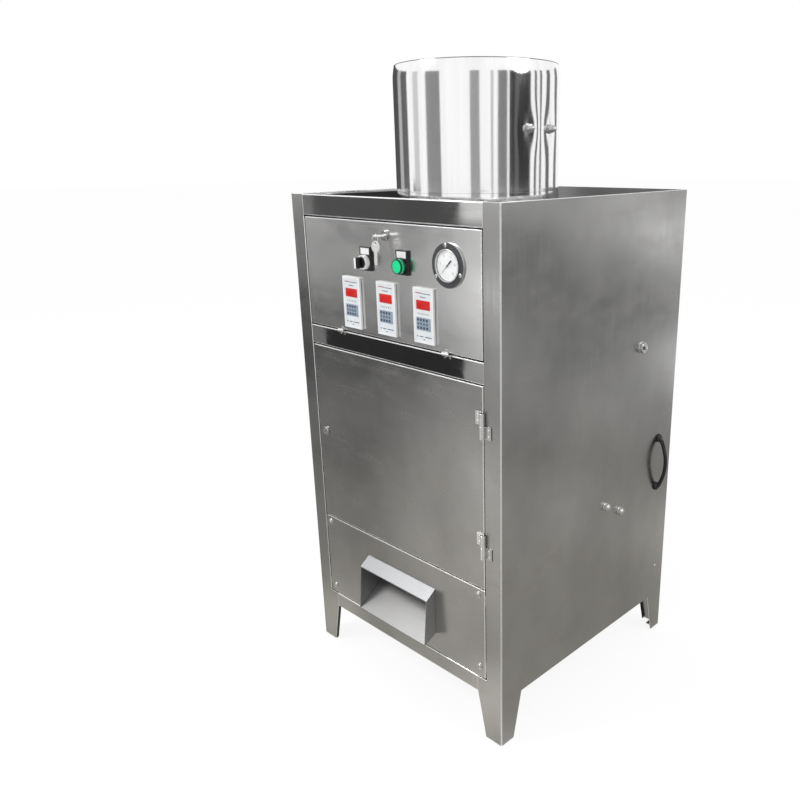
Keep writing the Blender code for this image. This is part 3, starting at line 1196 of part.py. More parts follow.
def build_electrics(grey, black):
    wall = -INNER_FACE
    y = FRONT + SUPPLY_SETBACK
    supply = add_part("power_supply", bevelled_block((wall + DIN_RAIL, y, SUPPLY_HEIGHT),
                                                     (wall + DIN_RAIL + SUPPLY_THICK, y + SUPPLY_DEPTH,
                                                      SUPPLY_HEIGHT + SUPPLY_TALL), SHEET), grey)
    rail_low = SUPPLY_HEIGHT + (SUPPLY_TALL - DIN_RAIL_TALL) / 2
    fuse(supply, block((wall, y - DIN_RAIL, rail_low),
                       (wall + 2 * DIN_RAIL, y + SUPPLY_DEPTH + DIN_RAIL, rail_low + DIN_RAIL_TALL)))

    centre = Vector((GLAND_X, BACK, GLAND_HEIGHT))
    wall_in = BACK_INNER - BACK - GAP
    wall_out = BACK_OUTER - BACK + GAP
    nut = wall_out + GLAND_REACH / 2
    profile = [(GLAND_BORE, wall_in - INLET_NUT), (GLAND_HEX, wall_in - INLET_NUT), (GLAND_HEX, wall_in),
               (GLAND_NECK, wall_in), (GLAND_NECK, wall_out), (GLAND_HEX, wall_out), (GLAND_HEX, nut),
               (GLAND_NECK, GLAND_REACH), (GLAND_BORE, GLAND_REACH)]
    add_part("cable_gland", turned(profile, centre, IN, 2 * HEX, closed=True), black)


def build_handle(name, side, black):
    """Bow handle: a round grip on an arc between two round feet."""
    wall = side * (HALF_WIDTH + GAP)
    reach = HANDLE_REACH - HANDLE_GRIP - GAP
    y = BACK - HANDLE_INSET
    middle = HANDLE_LOW + HANDLE_SPAN / 2
    depth = HANDLE_FOOT_HEIGHT / 2
    route = []
    for step in range(HANDLE_STEPS + 1):
        angle = math.pi * step / HANDLE_STEPS
        out = depth + (reach - depth) * math.sin(angle)
        route.append((wall + side * out, y, middle - HANDLE_SPAN / 2 * math.cos(angle)))
    handle = add_part(name, swept(route, HANDLE_GRIP), black, smooth=True)
    for height in (HANDLE_LOW, HANDLE_LOW + HANDLE_SPAN):
        foot = Vector((wall, y, height))
        profile = [(0, 0), (HANDLE_FOOT, 0), (HANDLE_FOOT, HANDLE_FOOT_HEIGHT - SHEET),
                   (HANDLE_FOOT - SHEET, HANDLE_FOOT_HEIGHT), (0, HANDLE_FOOT_HEIGHT)]
        fuse(handle, turned(profile, foot, RIGHT * side, SMALL_SEGMENTS))


def main():
    clear_scene()
    steel = finish("brushed_steel", (0.55, 0.54, 0.52), 0.35, 1.0)
    polished = finish("polished_steel", (0.75, 0.75, 0.75), 0.08, 1.0)
    chrome = finish("chrome", (0.80, 0.80, 0.80), 0.12, 1.0)
    aluminium = finish("aluminium", (0.62, 0.63, 0.65), 0.40, 1.0)
    brass = finish("brass", (0.70, 0.55, 0.25), 0.30, 1.0)
    black = finish("black_plastic", (0.02, 0.02, 0.022), 0.40)
    white = finish("white_plastic", (0.82, 0.83, 0.84), 0.45)
    grey = finish("grey_plastic", (0.35, 0.36, 0.37), 0.50)
    green = finish("green_plastic", (0.02, 0.70, 0.30), 0.30)
    glass = finish("glass", (0.90, 0.92, 0.92), 0.05, 0.0, 0.35)

    build_cabinet(steel)
    build_hopper(steel, polished)
    build_chamber(steel)
    build_gate("feed", feed_gate_top(), steel, aluminium)
    build_gate("discharge", discharge_gate_top(), steel, aluminium)
    build_chute(steel)
    build_lower_panel(steel)
    build_door(steel, chrome)
    panel_pivot = build_control_panel(steel)
    build_timers(panel_pivot, white)
    build_switches(panel_pivot, black, green)
    build_gauge(panel_pivot, black, glass)
    build_lock_and_key(panel_pivot, chrome)
    build_manifold(aluminium, chrome)
    build_regulator(aluminium, black)
    build_pipes(steel, brass)
    build_electrics(grey, black)
    build_handle("right_handle", 1, black)
    build_handle("left_handle", -1, black)


main()
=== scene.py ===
"""Looks of the garlic peeling machine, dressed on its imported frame. Metres, +Z up, front -Y."""
import json
import math

import bmesh
import bpy
from mathutils import Matrix, Vector, noise


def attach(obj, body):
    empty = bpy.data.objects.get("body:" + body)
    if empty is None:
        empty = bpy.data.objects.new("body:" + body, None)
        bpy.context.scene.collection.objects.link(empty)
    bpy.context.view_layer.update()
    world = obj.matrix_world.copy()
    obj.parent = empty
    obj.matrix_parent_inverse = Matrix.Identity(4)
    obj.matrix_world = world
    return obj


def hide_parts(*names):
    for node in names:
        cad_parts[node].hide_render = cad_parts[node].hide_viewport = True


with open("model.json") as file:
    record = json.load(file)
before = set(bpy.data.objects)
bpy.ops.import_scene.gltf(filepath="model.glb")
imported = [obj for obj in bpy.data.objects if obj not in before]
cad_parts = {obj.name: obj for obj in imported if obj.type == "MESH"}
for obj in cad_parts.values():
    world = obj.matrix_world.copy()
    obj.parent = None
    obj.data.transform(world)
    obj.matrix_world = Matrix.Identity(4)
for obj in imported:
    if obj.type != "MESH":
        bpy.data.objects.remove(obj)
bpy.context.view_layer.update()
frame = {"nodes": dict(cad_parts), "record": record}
NODES = frame["nodes"]
BODY_OF = {node: body for body, nodes in frame["record"]["behaviour"]["bodies"].items()
           for node in nodes}

OUT = Vector((0, -1, 0))
UP = Vector((0, 0, 1))
RIGHT = Vector((1, 0, 0))
SIDES = (("left", -1), ("right", 1))

# Cabinet: its front and back faces, half its width, and where the legs leave its sides
FRONT = -0.27045
BACK = 0.25955
HALF = 0.265
SKIRT = 0.090

# Hopper drum: its axis, its sheet, its seam, its rolled rim and its two bolts
HOPPER = Vector((0, -0.04045, 0))
DRUM_RADIUS = 0.149
DRUM_SHEET = 0.0015
DRUM_LOW = 0.9203
DRUM_SEAM = 0.9535
DRUM_TOP = 1.166
RIM_ROLL = 0.026
RIM_IN = 0.0032
BOLT_HEIGHT = 1.057
BOLT_ANGLES = (("front", math.radians(-10.6)), ("rear", math.radians(10.6)))

# Fittings on the front
DOOR_LOCK = Vector((-0.2054, FRONT, 0.492))
PANEL_LOCK = Vector((0.005, FRONT, 0.8885))
SELECTOR = Vector((-0.0468, FRONT, 0.8405))
BUTTON = Vector((0.0486, FRONT, 0.8415))
GAUGE = Vector((0.156, FRONT, 0.851))
DOOR_HINGES = (("upper", Vector((0.228, -0.27525, 0.603))),
               ("lower", Vector((0.228, -0.27525, 0.388))))
TIMER_X = [0.0034 + (index - 1) * 0.0947 for index in range(3)]
TIMER_Z = 0.7085 + 0.0556


# Materials

def feed(tree, value, socket):
    """Link an output to a socket, or set the socket's own value. A colour gets a full alpha."""
    if hasattr(value, "links"):
        tree.links.new(value, socket)
    elif socket.type == "RGBA":
        socket.default_value = (*value, 1)
    else:
        socket.default_value = value


def fill(tree, node, **values):
    """Feed a node's inputs by name."""
    for key, value in values.items():
        feed(tree, value, node.inputs[key.replace("_", " ")])


def add(tree, kind, **values):
    """A new node, with its properties and inputs by name."""
    node = tree.nodes.new(kind)
    for key, value in values.items():
        if hasattr(node, key):
            setattr(node, key, value)
        else:
            fill(tree, node, **{key: value})
    return node


def shader(name, colour, metallic, roughness=0.4, **values):
    """A Principled material, its node tree and its shader node."""
    material = bpy.data.materials.new(name)
    material.use_nodes = True
    tree = material.node_tree
    base = tree.nodes["Principled BSDF"]
    fill(tree, base, Base_Color=colour, Metallic=metallic, Roughness=roughness, **values)
    return material, tree, base


def place(tree, stretch=(1, 1, 1)):
    """Object coordinates in metres, stretched along each axis."""
    coords = add(tree, "ShaderNodeTexCoord").outputs["Object"]
    return add(tree, "ShaderNodeMapping", Vector=coords, Scale=stretch).outputs["Vector"]


def noise_at(tree, scale, stretch=(1, 1, 1), detail=3, rough=0.5):
    """Noise over the object's own coordinates."""
    return add(tree, "ShaderNodeTexNoise", Vector=place(tree, stretch), Scale=scale,
               Detail=detail, Roughness=rough).outputs["Fac"]


def spread(tree, source, low, high, start=0.3, stop=0.7):
    """A number from low to high as the source goes from start to stop."""
    return add(tree, "ShaderNodeMapRange", Value=source, From_Min=start, From_Max=stop,
               To_Min=low, To_Max=high).outputs["Result"]


MIX_SHARE, MIX_FIRST, MIX_SECOND, MIX_RESULT = 0, 6, 7, 2


def blend_colour(tree, share, first, second):
    """The first colour where the share is 0, the second where it is 1."""
    node = add(tree, "ShaderNodeMix", data_type="RGBA")
    feed(tree, share, node.inputs[MIX_SHARE])
    feed(tree, first, node.inputs[MIX_FIRST])
    feed(tree, second, node.inputs[MIX_SECOND])
    return node.outputs[MIX_RESULT]


def combine(tree, first, second, operation="ADD"):
    """Two numbers put together by a Math node."""
    node = add(tree, "ShaderNodeMath", operation=operation)
    feed(tree, first, node.inputs[0])
    feed(tree, second, node.inputs[1])
    return node.outputs[0]


def bump(tree, base, height, strength, distance=0.0003):
    """Fine relief on a shader."""
    relief = add(tree, "ShaderNodeBump", Height=height, Strength=strength, Distance=distance)
    fill(tree, base, Normal=relief.outputs["Normal"])


def shaded(tone, factor):
    """A tone made darker or lighter."""
    return tuple(min(1.0, part * factor) for part in tone)


def grey(level):
    """A neutral colour."""
    return level, level, level


GRAIN_STRETCH = {"X": (4, 420, 420), "Z": (420, 420, 4)}
SCUFF_TINT = (0.97, 0.93, 0.88)


def steel(name, tone, roughness, grain, shade, relief=0.10):
    """Stainless sheet: fine grain along one axis, cloudy handling marks and a few scuffs."""
    material, tree, base = shader(name, tone, 1.0)
    lines = noise_at(tree, 1.0, GRAIN_STRETCH[grain], 4, 0.6)
    cloud = noise_at(tree, 3.2, (1, 1, 0.7), 4, 0.55)
    smear = noise_at(tree, 11.0, (1, 1, 2.2), 5, 0.6)
    scuffed = tuple(part * tint for part, tint in zip(tone, SCUFF_TINT))
    cloudy = blend_colour(tree, spread(tree, cloud, 0, 1, 0.36, 0.64),
                          shaded(tone, 1 - shade), shaded(tone, 1 + shade))
    fill(tree, base,
         Base_Color=blend_colour(tree, spread(tree, smear, 0, 0.5, 0.52, 0.72), cloudy, scuffed),
         Roughness=combine(tree, spread(tree, lines, *roughness),
                           spread(tree, smear, -0.02, 0.05, 0.4, 0.7)))
    bump(tree, base, lines, relief)
    return material


def polished(name, tone, roughness):
    """Mirror-polished rolled sheet: faint vertical streaks, a slight roll wave, small scuffs."""
    material, tree, base = shader(name, tone, 1.0, roughness)
    streak = noise_at(tree, 1.0, (38, 38, 0.7), 4, 0.6)
    scuff = noise_at(tree, 60.0, (1, 1, 0.35), 6, 0.7)
    wave = noise_at(tree, 1.0, (9, 9, 1.2), 2, 0.4)
    fill(tree, base,
         Base_Color=blend_colour(tree, spread(tree, streak, 0, 1, 0.35, 0.65),
                                 shaded(tone, 0.91), tone),
         Roughness=combine(tree, spread(tree, scuff, roughness, roughness + 0.03, 0.45, 0.75),
                           spread(tree, streak, 0, 0.03)))
    bump(tree, base, wave, 0.25, 0.004)
    return material


def plastic(name, colour, roughness, relief=0.12):
    """Moulded plastic with a fine satin texture and slightly uneven colour."""
    material, tree, base = shader(name, colour, 0.0, roughness)
    grain = noise_at(tree, 900, detail=2)
    mottle = noise_at(tree, 35)
    fill(tree, base,
         Base_Color=blend_colour(tree, spread(tree, mottle, 0, 1), colour, shaded(colour, 0.90)),
         Roughness=spread(tree, grain, roughness - 0.05, roughness + 0.07))
    bump(tree, base, grain, relief, 0.00008)
    return material


def plated(name, tone, roughness=0.12):
    """Bright plated metal with a few dull spots."""
    material, tree, base = shader(name, tone, 1.0, roughness)
    spots = noise_at(tree, 260, detail=4, rough=0.6)
    fill(tree, base,
         Base_Color=blend_colour(tree, spread(tree, spots, 0, 1, 0.5, 0.75),
                                 tone, shaded(tone, 0.72)),
         Roughness=spread(tree, spots, roughness, roughness + 0.16, 0.4, 0.8))
    bump(tree, base, spots, 0.08, 0.0001)
    return material


def crinkle(name, colour):
    """Crinkle paint: a fine cellular relief over dark grey."""
    material, tree, base = shader(name, colour, 0.0, 0.42)
    cells = add(tree, "ShaderNodeTexVoronoi", Vector=place(tree), Scale=1400.0)
    cells = cells.outputs["Distance"]
    fill(tree, base, Base_Color=blend_colour(tree, spread(tree, cells, 1, 0, 0.1, 0.7),
                                             colour, shaded(colour, 2.6)))
    bump(tree, base, cells, 0.6)
    return material


# Sheet metal: tone, range of roughness, direction of the grain, depth of the clouds, relief
SIDE = steel("side_sheet", (0.420, 0.418, 0.412), (0.18, 0.24), "Z", 0.16, 0.012)
PANEL = steel("panel_sheet", (0.780, 0.778, 0.772), (0.20, 0.225), "X", 0.12, 0.006)
DOOR = steel("door_sheet", (0.440, 0.437, 0.430), (0.21, 0.26), "X", 0.18, 0.012)
RAIL = steel("rail_sheet", (0.520, 0.520, 0.515), (0.03, 0.06), "X", 0.16, 0.01)
# Painted light: a pale tone for the inside faces of the right panel and the top rail
INSIDE_LIGHT = steel("inside_painted_light", (0.900, 0.900, 0.900), (0.20, 0.30), "X", 0.05, 0.02)
# Painted highlight for the bends and bevels of the steel sheets
BEND_HIGHLIGHT = plated("bend_painted_highlight", (0.92, 0.92, 0.92), 0.24)
CHUTE = steel("chute_sheet", (0.385, 0.390, 0.396), (0.34, 0.46), "X", 0.06)
CHUTE_FLOOR = steel("chute_floor_sheet", (0.295, 0.294, 0.292), (0.34, 0.46), "X", 0.06)
# Painted highlight for the left stile's inner edge
EDGE_HIGHLIGHT = plated("edge_painted_highlight", (0.95, 0.95, 0.95), 0.46)
# Dull inner sheet; on the inside faces of the left and back panels it is painted shade
INNER = steel("inner_sheet", (0.300, 0.300, 0.300), (0.30, 0.42), "X", 0.10)
HINGE = plated("hinge_plate", (0.56, 0.56, 0.56), 0.10)
HINGE_PLATE = plated("door_hinge_plate", (0.90, 0.90, 0.89), 0.20)
TUBE = steel("tube_sheet", (0.50, 0.50, 0.50), (0.18, 0.28), "Z", 0.08)
DRUM = polished("drum_sheet", (0.98, 0.98, 0.98), 0.075)
SEAM = polished("drum_seam", (0.55, 0.55, 0.55), 0.10)
CHROME = plated("chrome", (0.80, 0.80, 0.80))
NICKEL = plated("nickel", (0.98, 0.97, 0.95), 0.40)
DARK_PLATE = plated("dark_plate", (0.40, 0.40, 0.40), 0.08)
# Painted shade for the drum's rolled lip
LIP_SHADE = plated("lip_painted_shade", (0.14, 0.14, 0.14), 0.30)
ZINC = plated("zinc", (0.66, 0.66, 0.64), 0.22)
ALUMINIUM = steel("aluminium", (0.60, 0.61, 0.62), (0.34, 0.46), "Z", 0.05)
BRASS = plated("brass", (0.72, 0.56, 0.28), 0.24)

# Plastic, paint and ink: colour, roughness, relief
BLACK = plastic("black_plastic", (0.014, 0.014, 0.016), 0.36)
BLACK_GLOSS = plastic("black_gloss", (0.010, 0.010, 0.012), 0.20, 0.04)
WHITE = plastic("white_plastic", (0.90, 0.90, 0.91), 0.42, 0.06)
LABEL = plastic("label_sheet", (0.80, 0.84, 0.87), 0.36, 0.03)
PAPER = plastic("white_insert", (0.92, 0.92, 0.92), 0.46, 0.04)
SILVER_RING = plastic("silver_ring", (0.95, 0.95, 0.96), 0.30, 0.05)
KEYPAD = plastic("keypad_sheet", (0.30, 0.37, 0.45), 0.40, 0.04)
KEY_DARK = plastic("key_dark", (0.035, 0.05, 0.08), 0.40, 0.04)
KEY_PALE = plastic("key_pale", (0.10, 0.15, 0.22), 0.40, 0.04)
INK = plastic("ink", (0.10, 0.11, 0.13), 0.5, 0.02)
PALE_INK = plastic("pale_ink", (0.30, 0.32, 0.34), 0.5, 0.02)
RED_INK = plastic("red_ink", (0.46, 0.14, 0.16), 0.5, 0.02)
GREY = plastic("grey_plastic", (0.32, 0.33, 0.34), 0.48)
DIAL = plastic("dial_face", (0.96, 0.97, 0.97), 0.50, 0.02)
CRINKLE = crinkle("crinkle_paint", (0.030, 0.032, 0.036))
GREEN = plastic("green_lens", (0.002, 0.76, 0.32), 0.24, 0.03)
# Painted dark reflection round the lens's rounded edge
GREEN_EDGE_REFLECTION = plastic("green_lens_painted_reflection", (0.002, 0.05, 0.025), 0.20, 0.03)
RED = plastic("red_window", (0.66, 0.001, 0.002), 0.30, 0.02)
DIGIT = plastic("red_digit", (0.74, 0.014, 0.008), 0.35, 0.02)
GLASS = shader("clear_pane", (1.0, 1.0, 1.0), 0.0, 0.03, Transmission_Weight=1.0, IOR=1.12)[0]


# Shapes

NUT_STEPS = 48
NUT_CHAMFER = 0.0008
NUT_END = 0.985
CORNER_STEPS = 5


def add_object(name, data):
    """A new object in the scene."""
    result = bpy.data.objects.new(name, data)
    bpy.context.collection.objects.link(result)
    return result


def new_piece(name, shape, material, body, smooth=None):
    """A mesh piece from a bmesh in the frame's coordinates, riding on a body."""
    bmesh.ops.recalc_face_normals(shape, faces=shape.faces)
    mesh = bpy.data.meshes.new(name)
    shape.to_mesh(mesh)
    shape.free()
    piece = add_object(name, mesh)
    for item in material if isinstance(material, list) else [material]:
        mesh.materials.append(item)
    if smooth:
        mesh.shade_smooth()
        mesh.set_sharp_from_angle(angle=math.radians(smooth))
    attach(piece, body)
    return piece


def block(low, high, edge=0.0, steps=2):
    """A box between two opposite corners, its edges rounded where edge is given."""
    shape = bmesh.new()
    bmesh.ops.create_cube(shape, size=1)
    low, high = (Vector([pick(pair) for pair in zip(low, high)]) for pick in (min, max))
    bmesh.ops.scale(shape, verts=shape.verts, vec=high - low)
    bmesh.ops.translate(shape, verts=shape.verts, vec=(low + high) / 2)
    if edge:
        bmesh.ops.bevel(shape, geom=list(shape.edges), offset=edge, segments=steps, profile=0.5,
                        affect="EDGES")
    return shape


def slab(centre, axes, sizes):
    """A box round a centre, with a size along each of three directions."""
    shape = bmesh.new()
    bmesh.ops.create_cube(shape, size=1)
    for vertex in shape.verts:
        reach = [part * size for part, size in zip(vertex.co, sizes)]
        vertex.co = centre + axes[0] * reach[0] + axes[1] * reach[1] + axes[2] * reach[2]
    return shape


def ring(shape, centre, side, other, radii):
    """Vertices round a centre in equal steps, each at its own radius."""
    turns = [2 * math.pi * step / len(radii) for step in range(len(radii))]
    return [shape.verts.new(centre + (side * math.cos(a) + other * math.sin(a)) * radius)
            for a, radius in zip(turns, radii)]


def bridge(shape, rings):
    """Faces from each ring to the next. A ring of one vertex closes in a fan."""
    for first, second in zip(rings, rings[1:]):
        for step in range(max(len(first), len(second))):
            after = step + 1
            corners = [first[step % len(first)], first[after % len(first)],
                       second[after % len(second)], second[step % len(second)]]
            face = [corner for index, corner in enumerate(corners)
                    if corner not in corners[:index]]
            if len(face) > 2:
                shape.faces.new(face)


def capped(shape, rings):
    """Rings joined into a solid with a flat face at each end."""
    bridge(shape, rings)
    shape.faces.new(rings[0])
    shape.faces.new(rings[-1])
    return shape


def turned(profile, centre, direction, segments, closed=False, move=None):
    """A profile of (radius, distance) turned about a line."""
    shape = bmesh.new()
    centre, direction = Vector(centre), Vector(direction).normalized()
    side = direction.orthogonal().normalized() if abs(direction.z) < 0.99 else RIGHT.copy()
    other = direction.cross(side)
    rings = []
    for radius, distance in profile:
        middle = centre + direction * distance
        rings.append(ring(shape, middle, side, other, [radius] * segments) if radius
                     else [shape.verts.new(middle)])
    bridge(shape, rings + rings[:1] if closed else rings)
    if move:
        for vertex in shape.verts:
            vertex.co = move(vertex.co)
    return shape


def hexagon(across, low, high, centre, direction):
    """Hexagon nut or head from one distance to another, chamfered at its outer end."""
    shape = bmesh.new()
    centre, direction = Vector(centre), Vector(direction).normalized()
    side = direction.orthogonal().normalized()
    other = direction.cross(side)
    flat = across / 2
    sixth = math.pi / 3
    full = [flat / math.cos((2 * math.pi * step / NUT_STEPS + sixth / 2) % sixth - sixth / 2)
            for step in range(NUT_STEPS)]
    levels = ((low, full), (high - NUT_CHAMFER, full), (high, [flat * NUT_END] * NUT_STEPS))
    return capped(shape, [ring(shape, centre + direction * distance, side, other, radii)
                          for distance, radii in levels])


def tube(route, radii, sides):
    """A round bar along a route of points, with a radius at each."""
    shape = bmesh.new()
    route = [Vector(point) for point in route]
    last = len(route) - 1
    heading = (route[1] - route[0]).normalized()
    side = heading.orthogonal().normalized()
    rings = []
    for index, (point, radius) in enumerate(zip(route, radii)):
        before = (point - route[index - 1]).normalized() if index else heading
        after = (route[index + 1] - point).normalized() if index < last else before
        middle = (before + after).normalized()
        side = (side - middle * side.dot(middle)).normalized()
        rings.append(ring(shape, point, side, middle.cross(side), [radius] * sides))
    return capped(shape, rings)


def flat_shape(outline, front, thickness):
    """An outline in X and Z with its front face at Y front, going inwards."""
    shape = bmesh.new()
    return capped(shape, [[shape.verts.new((x, y, z)) for x, z in outline]
                          for y in (front, front + thickness)])


def rounded(x, z, width, height, radius):
    """Outline of a rounded rectangle round (x, z)."""
    points = []
    for right, up, start in ((1, 1, 0), (-1, 1, 90), (-1, -1, 180), (1, -1, 270)):
        for step in range(CORNER_STEPS + 1):
            angle = math.radians(start + 90 * step / CORNER_STEPS)
            points.append((x + right * (width / 2 - radius) + radius * math.cos(angle),
                           z + up * (height / 2 - radius) + radius * math.sin(angle)))
    return points


def merged(*shapes):
    """Several shapes as one."""
    result = bmesh.new()
    for shape in shapes:
        mesh = bpy.data.meshes.new("part")
        shape.to_mesh(mesh)
        shape.free()
        result.from_mesh(mesh)
        bpy.data.meshes.remove(mesh)
    return result


def bars(x, z, spans, near, far, edge=0.0):
    """Blocks from Y near to Y far, each (left, right, low, high) from a point on the front."""
    return merged(*(block((x + left, near, z + low), (x + right, far, z + high), edge)
                    for left, right, low, high in spans))


def front_turned(name, profile, centre, segments, material, body, closed=True, smooth=40):
    """A piece on the front, turned about a line that points outwards."""
    return new_piece(name, turned(profile, centre, OUT, segments, closed=closed), material,
                     body, smooth=smooth)


def spoke(angle):
    """A level direction, from +X towards +Y."""
    return Vector((math.cos(angle), math.sin(angle), 0))


def clock(degrees):
    """A direction on the front, clockwise from the top, and the one across it."""
    angle = math.radians(degrees)
    along = Vector((math.sin(angle), 0, math.cos(angle)))
    return along, Vector((along.z, 0, -along.x))


def radial_bar(centre, degrees, low, high, width, thickness):
    """A thin bar on the front, along a radius from low to high."""
    along, across = clock(degrees)
    return slab(centre + along * ((low + high) / 2), (across, OUT, along),
                (width, thickness, high - low))


SHARP = 35.0


def refine(node, material, edge, steps=2, bend_highlight=None, rim=False, inside=None, inside_light_and_shade=None):
    """A rounded copy of a CAD node: welded, flat faces joined, edges soft, a painted highlight on
    its bends and a painted tone on its inside faces.
    """
    shape = bmesh.new()
    shape.from_mesh(NODES[node].data)
    bmesh.ops.remove_doubles(shape, verts=shape.verts, dist=0.00001)
    bmesh.ops.dissolve_limit(shape, angle_limit=math.radians(1.0), verts=shape.verts,
                             edges=shape.edges)
    materials = [material, bend_highlight, inside_light_and_shade or INNER] if bend_highlight else material
    piece = new_piece(f"{node}_skin", shape, materials, BODY_OF[node], smooth=SHARP)
    if edge:
        soft = piece.modifiers.new("soft_edges", "BEVEL")
        soft.width = edge
        soft.segments = steps
        soft.limit_method = "ANGLE"
        soft.angle_limit = math.radians(SHARP)
        soft.use_clamp_overlap = True
        # On a sheet with a rim the bevels take the painted highlight as well
        if rim:
            soft.material = 1
    even = piece.modifiers.new("even_shading", "WEIGHTED_NORMAL")
    even.mode = "FACE_AREA"
    even.weight = 100
    even.keep_sharp = True
    if bend_highlight:
        for face in piece.data.polygons:
            # A bend faces forwards, between two axes and not along either, and takes the painted
            # highlight
            least, _, most = sorted(abs(part) for part in face.normal)
            if most < 0.985 and least < 0.6 and face.normal.y < -0.1:
                face.material_index = 1
            # Faces towards the inside take the painted inside tone given for the sheet
            elif inside and face.normal.dot(inside) > 0.9:
                face.material_index = 2
    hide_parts(node)


WASHER_TOP = 0.0012
# Shares of a screw head's radius and height, down into its recess
HEAD = ((1, 0.45), (0.90, 0.78), (0.62, 1), (0.26, 1), (0.22, 0.35), (0, 0.30))


def screw(name, centre, direction, body, radius, height, washer=0.0, material=ZINC):
    """Pan-head screw with a cross recess drawn in painted shade, on a washer where one is given.
    """
    if washer:
        base = WASHER_TOP
        foot = [(washer, 0), (washer, 0.0010), (washer - 0.0003, base), (radius, base)]
    else:
        base = 0.0002
        foot = [(radius, 0)]
    head = [(radius * out, base + height * up) for out, up in HEAD]
    new_piece(name, turned([(0, 0)] + foot + head, centre, direction, 32), material, body,
              smooth=32)
    side = direction.orthogonal().normalized()
    # The cross recess: dark slabs on the head, painted shade
    recess_shades = []
    for turn in (20, 110):
        along = Matrix.Rotation(math.radians(turn), 3, direction) @ side
        recess_shades.append(slab(Vector(centre) + direction * (base + height * 0.985),
                          (along, direction.cross(along), direction),
                          (radius * 0.95, radius * 0.16, height * 0.10)))
    new_piece(f"{name}_cross", merged(*recess_shades), INK, body)


# Cabinet

for node, material, edge in (
        ("base_plate", INNER, 0.0004), ("top_tray", INNER, 0.0004),
        ("chamber_shelf", INNER, 0.0004), ("chute_floor", CHUTE_FLOOR, 0.0004),
        ("chute_hood", CHUTE, 0.0004), ("lower_hinge_post", HINGE, 0.0004),
        ("upper_hinge_post", HINGE, 0.0004), ("lower_hinge_leaf", HINGE_PLATE, 0.0004),
        ("upper_hinge_leaf", HINGE_PLATE, 0.0004), ("door_lock", CHROME, 0.0003),
        ("panel_lock", CHROME, 0.0003), ("panel_key", NICKEL, 0.0003),
        ("spare_key", NICKEL, 0.0003), ("key_ring", CHROME, 0),
        ("filter_regulator", ALUMINIUM, 0.0006), ("regulator_knob", BLACK, 0.0006),
        ("valve_manifold", ALUMINIUM, 0.0006), ("power_supply", GREY, 0.0004),
        ("feed_gate", INNER, 0.0003), ("discharge_gate", INNER, 0.0003),
        ("feed_gate_housing", INNER, 0.0004), ("discharge_gate_housing", INNER, 0.0004),
        ("feed_cylinder", ALUMINIUM, 0.0005), ("discharge_cylinder", ALUMINIUM, 0.0005),
        ("air_ring", TUBE, 0), ("riser_pipe", TUBE, 0), ("chamber_pipe", TUBE, 0),
        ("peeling_chamber", TUBE, 0), ("chamber_lid", TUBE, 0), ("supply_pipe", BRASS, 0.0004),
        ("cable_gland", BLACK, 0.0004)):
    refine(node, material, edge)
# Painted highlight on the panels' forward-facing bends
for node, material in (("lower_panel", DOOR), ("door", DOOR), ("control_panel", PANEL)):
    refine(node, material, 0.0003, bend_highlight=BEND_HIGHLIGHT)
# Painted highlight on bends and bevels; inside faces are painted shade in the dull inner tone on
# the left and back panels, and painted light in the pale tone on the right panel and top rail
for node, material, edge, inside, inside_light_and_shade in (
        ("left_side_panel", SIDE, 0.0009, RIGHT, INNER),
        ("right_side_panel", SIDE, 0.0009, -RIGHT, INSIDE_LIGHT),
        ("back_panel", SIDE, 0.0006, OUT, INNER), ("top_front_rail", RAIL, 0.0009, -OUT, INSIDE_LIGHT),
        ("middle_rail", RAIL, 0.0007, None, INNER),
        ("bottom_front_rail", DOOR, 0.0009, None, INNER)):
    refine(node, material, edge, bend_highlight=BEND_HIGHLIGHT, rim=True, inside=inside, inside_light_and_shade=inside_light_and_shade)

HEM_LOW, HEM_TOP = 0.9450, 0.9502
UPSTAND_SHADE_LOW, UPSTAND_SHADE_TOP = 0.9215, 0.9488
# Strips along the top of the side walls in the bend's bright tone: a painted highlight
for label, side in SIDES:
    wall = side * (HALF - 0.0015)
    new_piece(f"{label}_hem", block((wall, FRONT + 0.004, HEM_LOW),
                                    (wall - side * 0.0010, BACK - 0.004, HEM_TOP), 0.0003),
              BEND_HIGHLIGHT, "cabinet", smooth=40)
# Black sheets inside the left and back walls above the tray: painted shade
for name, low, high in (
        ("left_upstand_shade", (-0.2632, FRONT + 0.006), (-0.2628, BACK - 0.003)),
        ("back_upstand_shade", (-0.262, BACK - 0.0022), (0.262, BACK - 0.0018))):
    new_piece(name, block((*low, UPSTAND_SHADE_LOW), (*high, UPSTAND_SHADE_TOP)), BLACK, "cabinet")
# A bright strip on the left stile's inner edge: a painted highlight
new_piece("left_stile_highlight", block((-0.2300, FRONT - 0.0003, 0.1245),
                                   (-0.2284, FRONT + 0.0008, 0.9095), 0.0004),
          EDGE_HIGHLIGHT, "cabinet", smooth=40)

# Painted shade: black strips on the legs' inner edges, which slope from the skirt down to the
# feet
LEG_SHADE_WIDTH = 0.0012
LEG_SHADE_ENDS = ((HALF - 0.0380, 0.0004), (HALF - 0.0570, SKIRT))
for label, side in SIDES:
    (foot_x, foot_z), (skirt_x, skirt_z) = LEG_SHADE_ENDS
    outline = [(side * foot_x, foot_z), (side * skirt_x, skirt_z),
               (side * (skirt_x + LEG_SHADE_WIDTH), skirt_z), (side * (foot_x + LEG_SHADE_WIDTH), foot_z)]
    for end, near in (("front", FRONT + 0.0013), ("back", BACK - 0.0073)):
        new_piece(f"{label}_{end}_leg_shade", flat_shape(outline, near, 0.0060), BLACK, "cabinet")

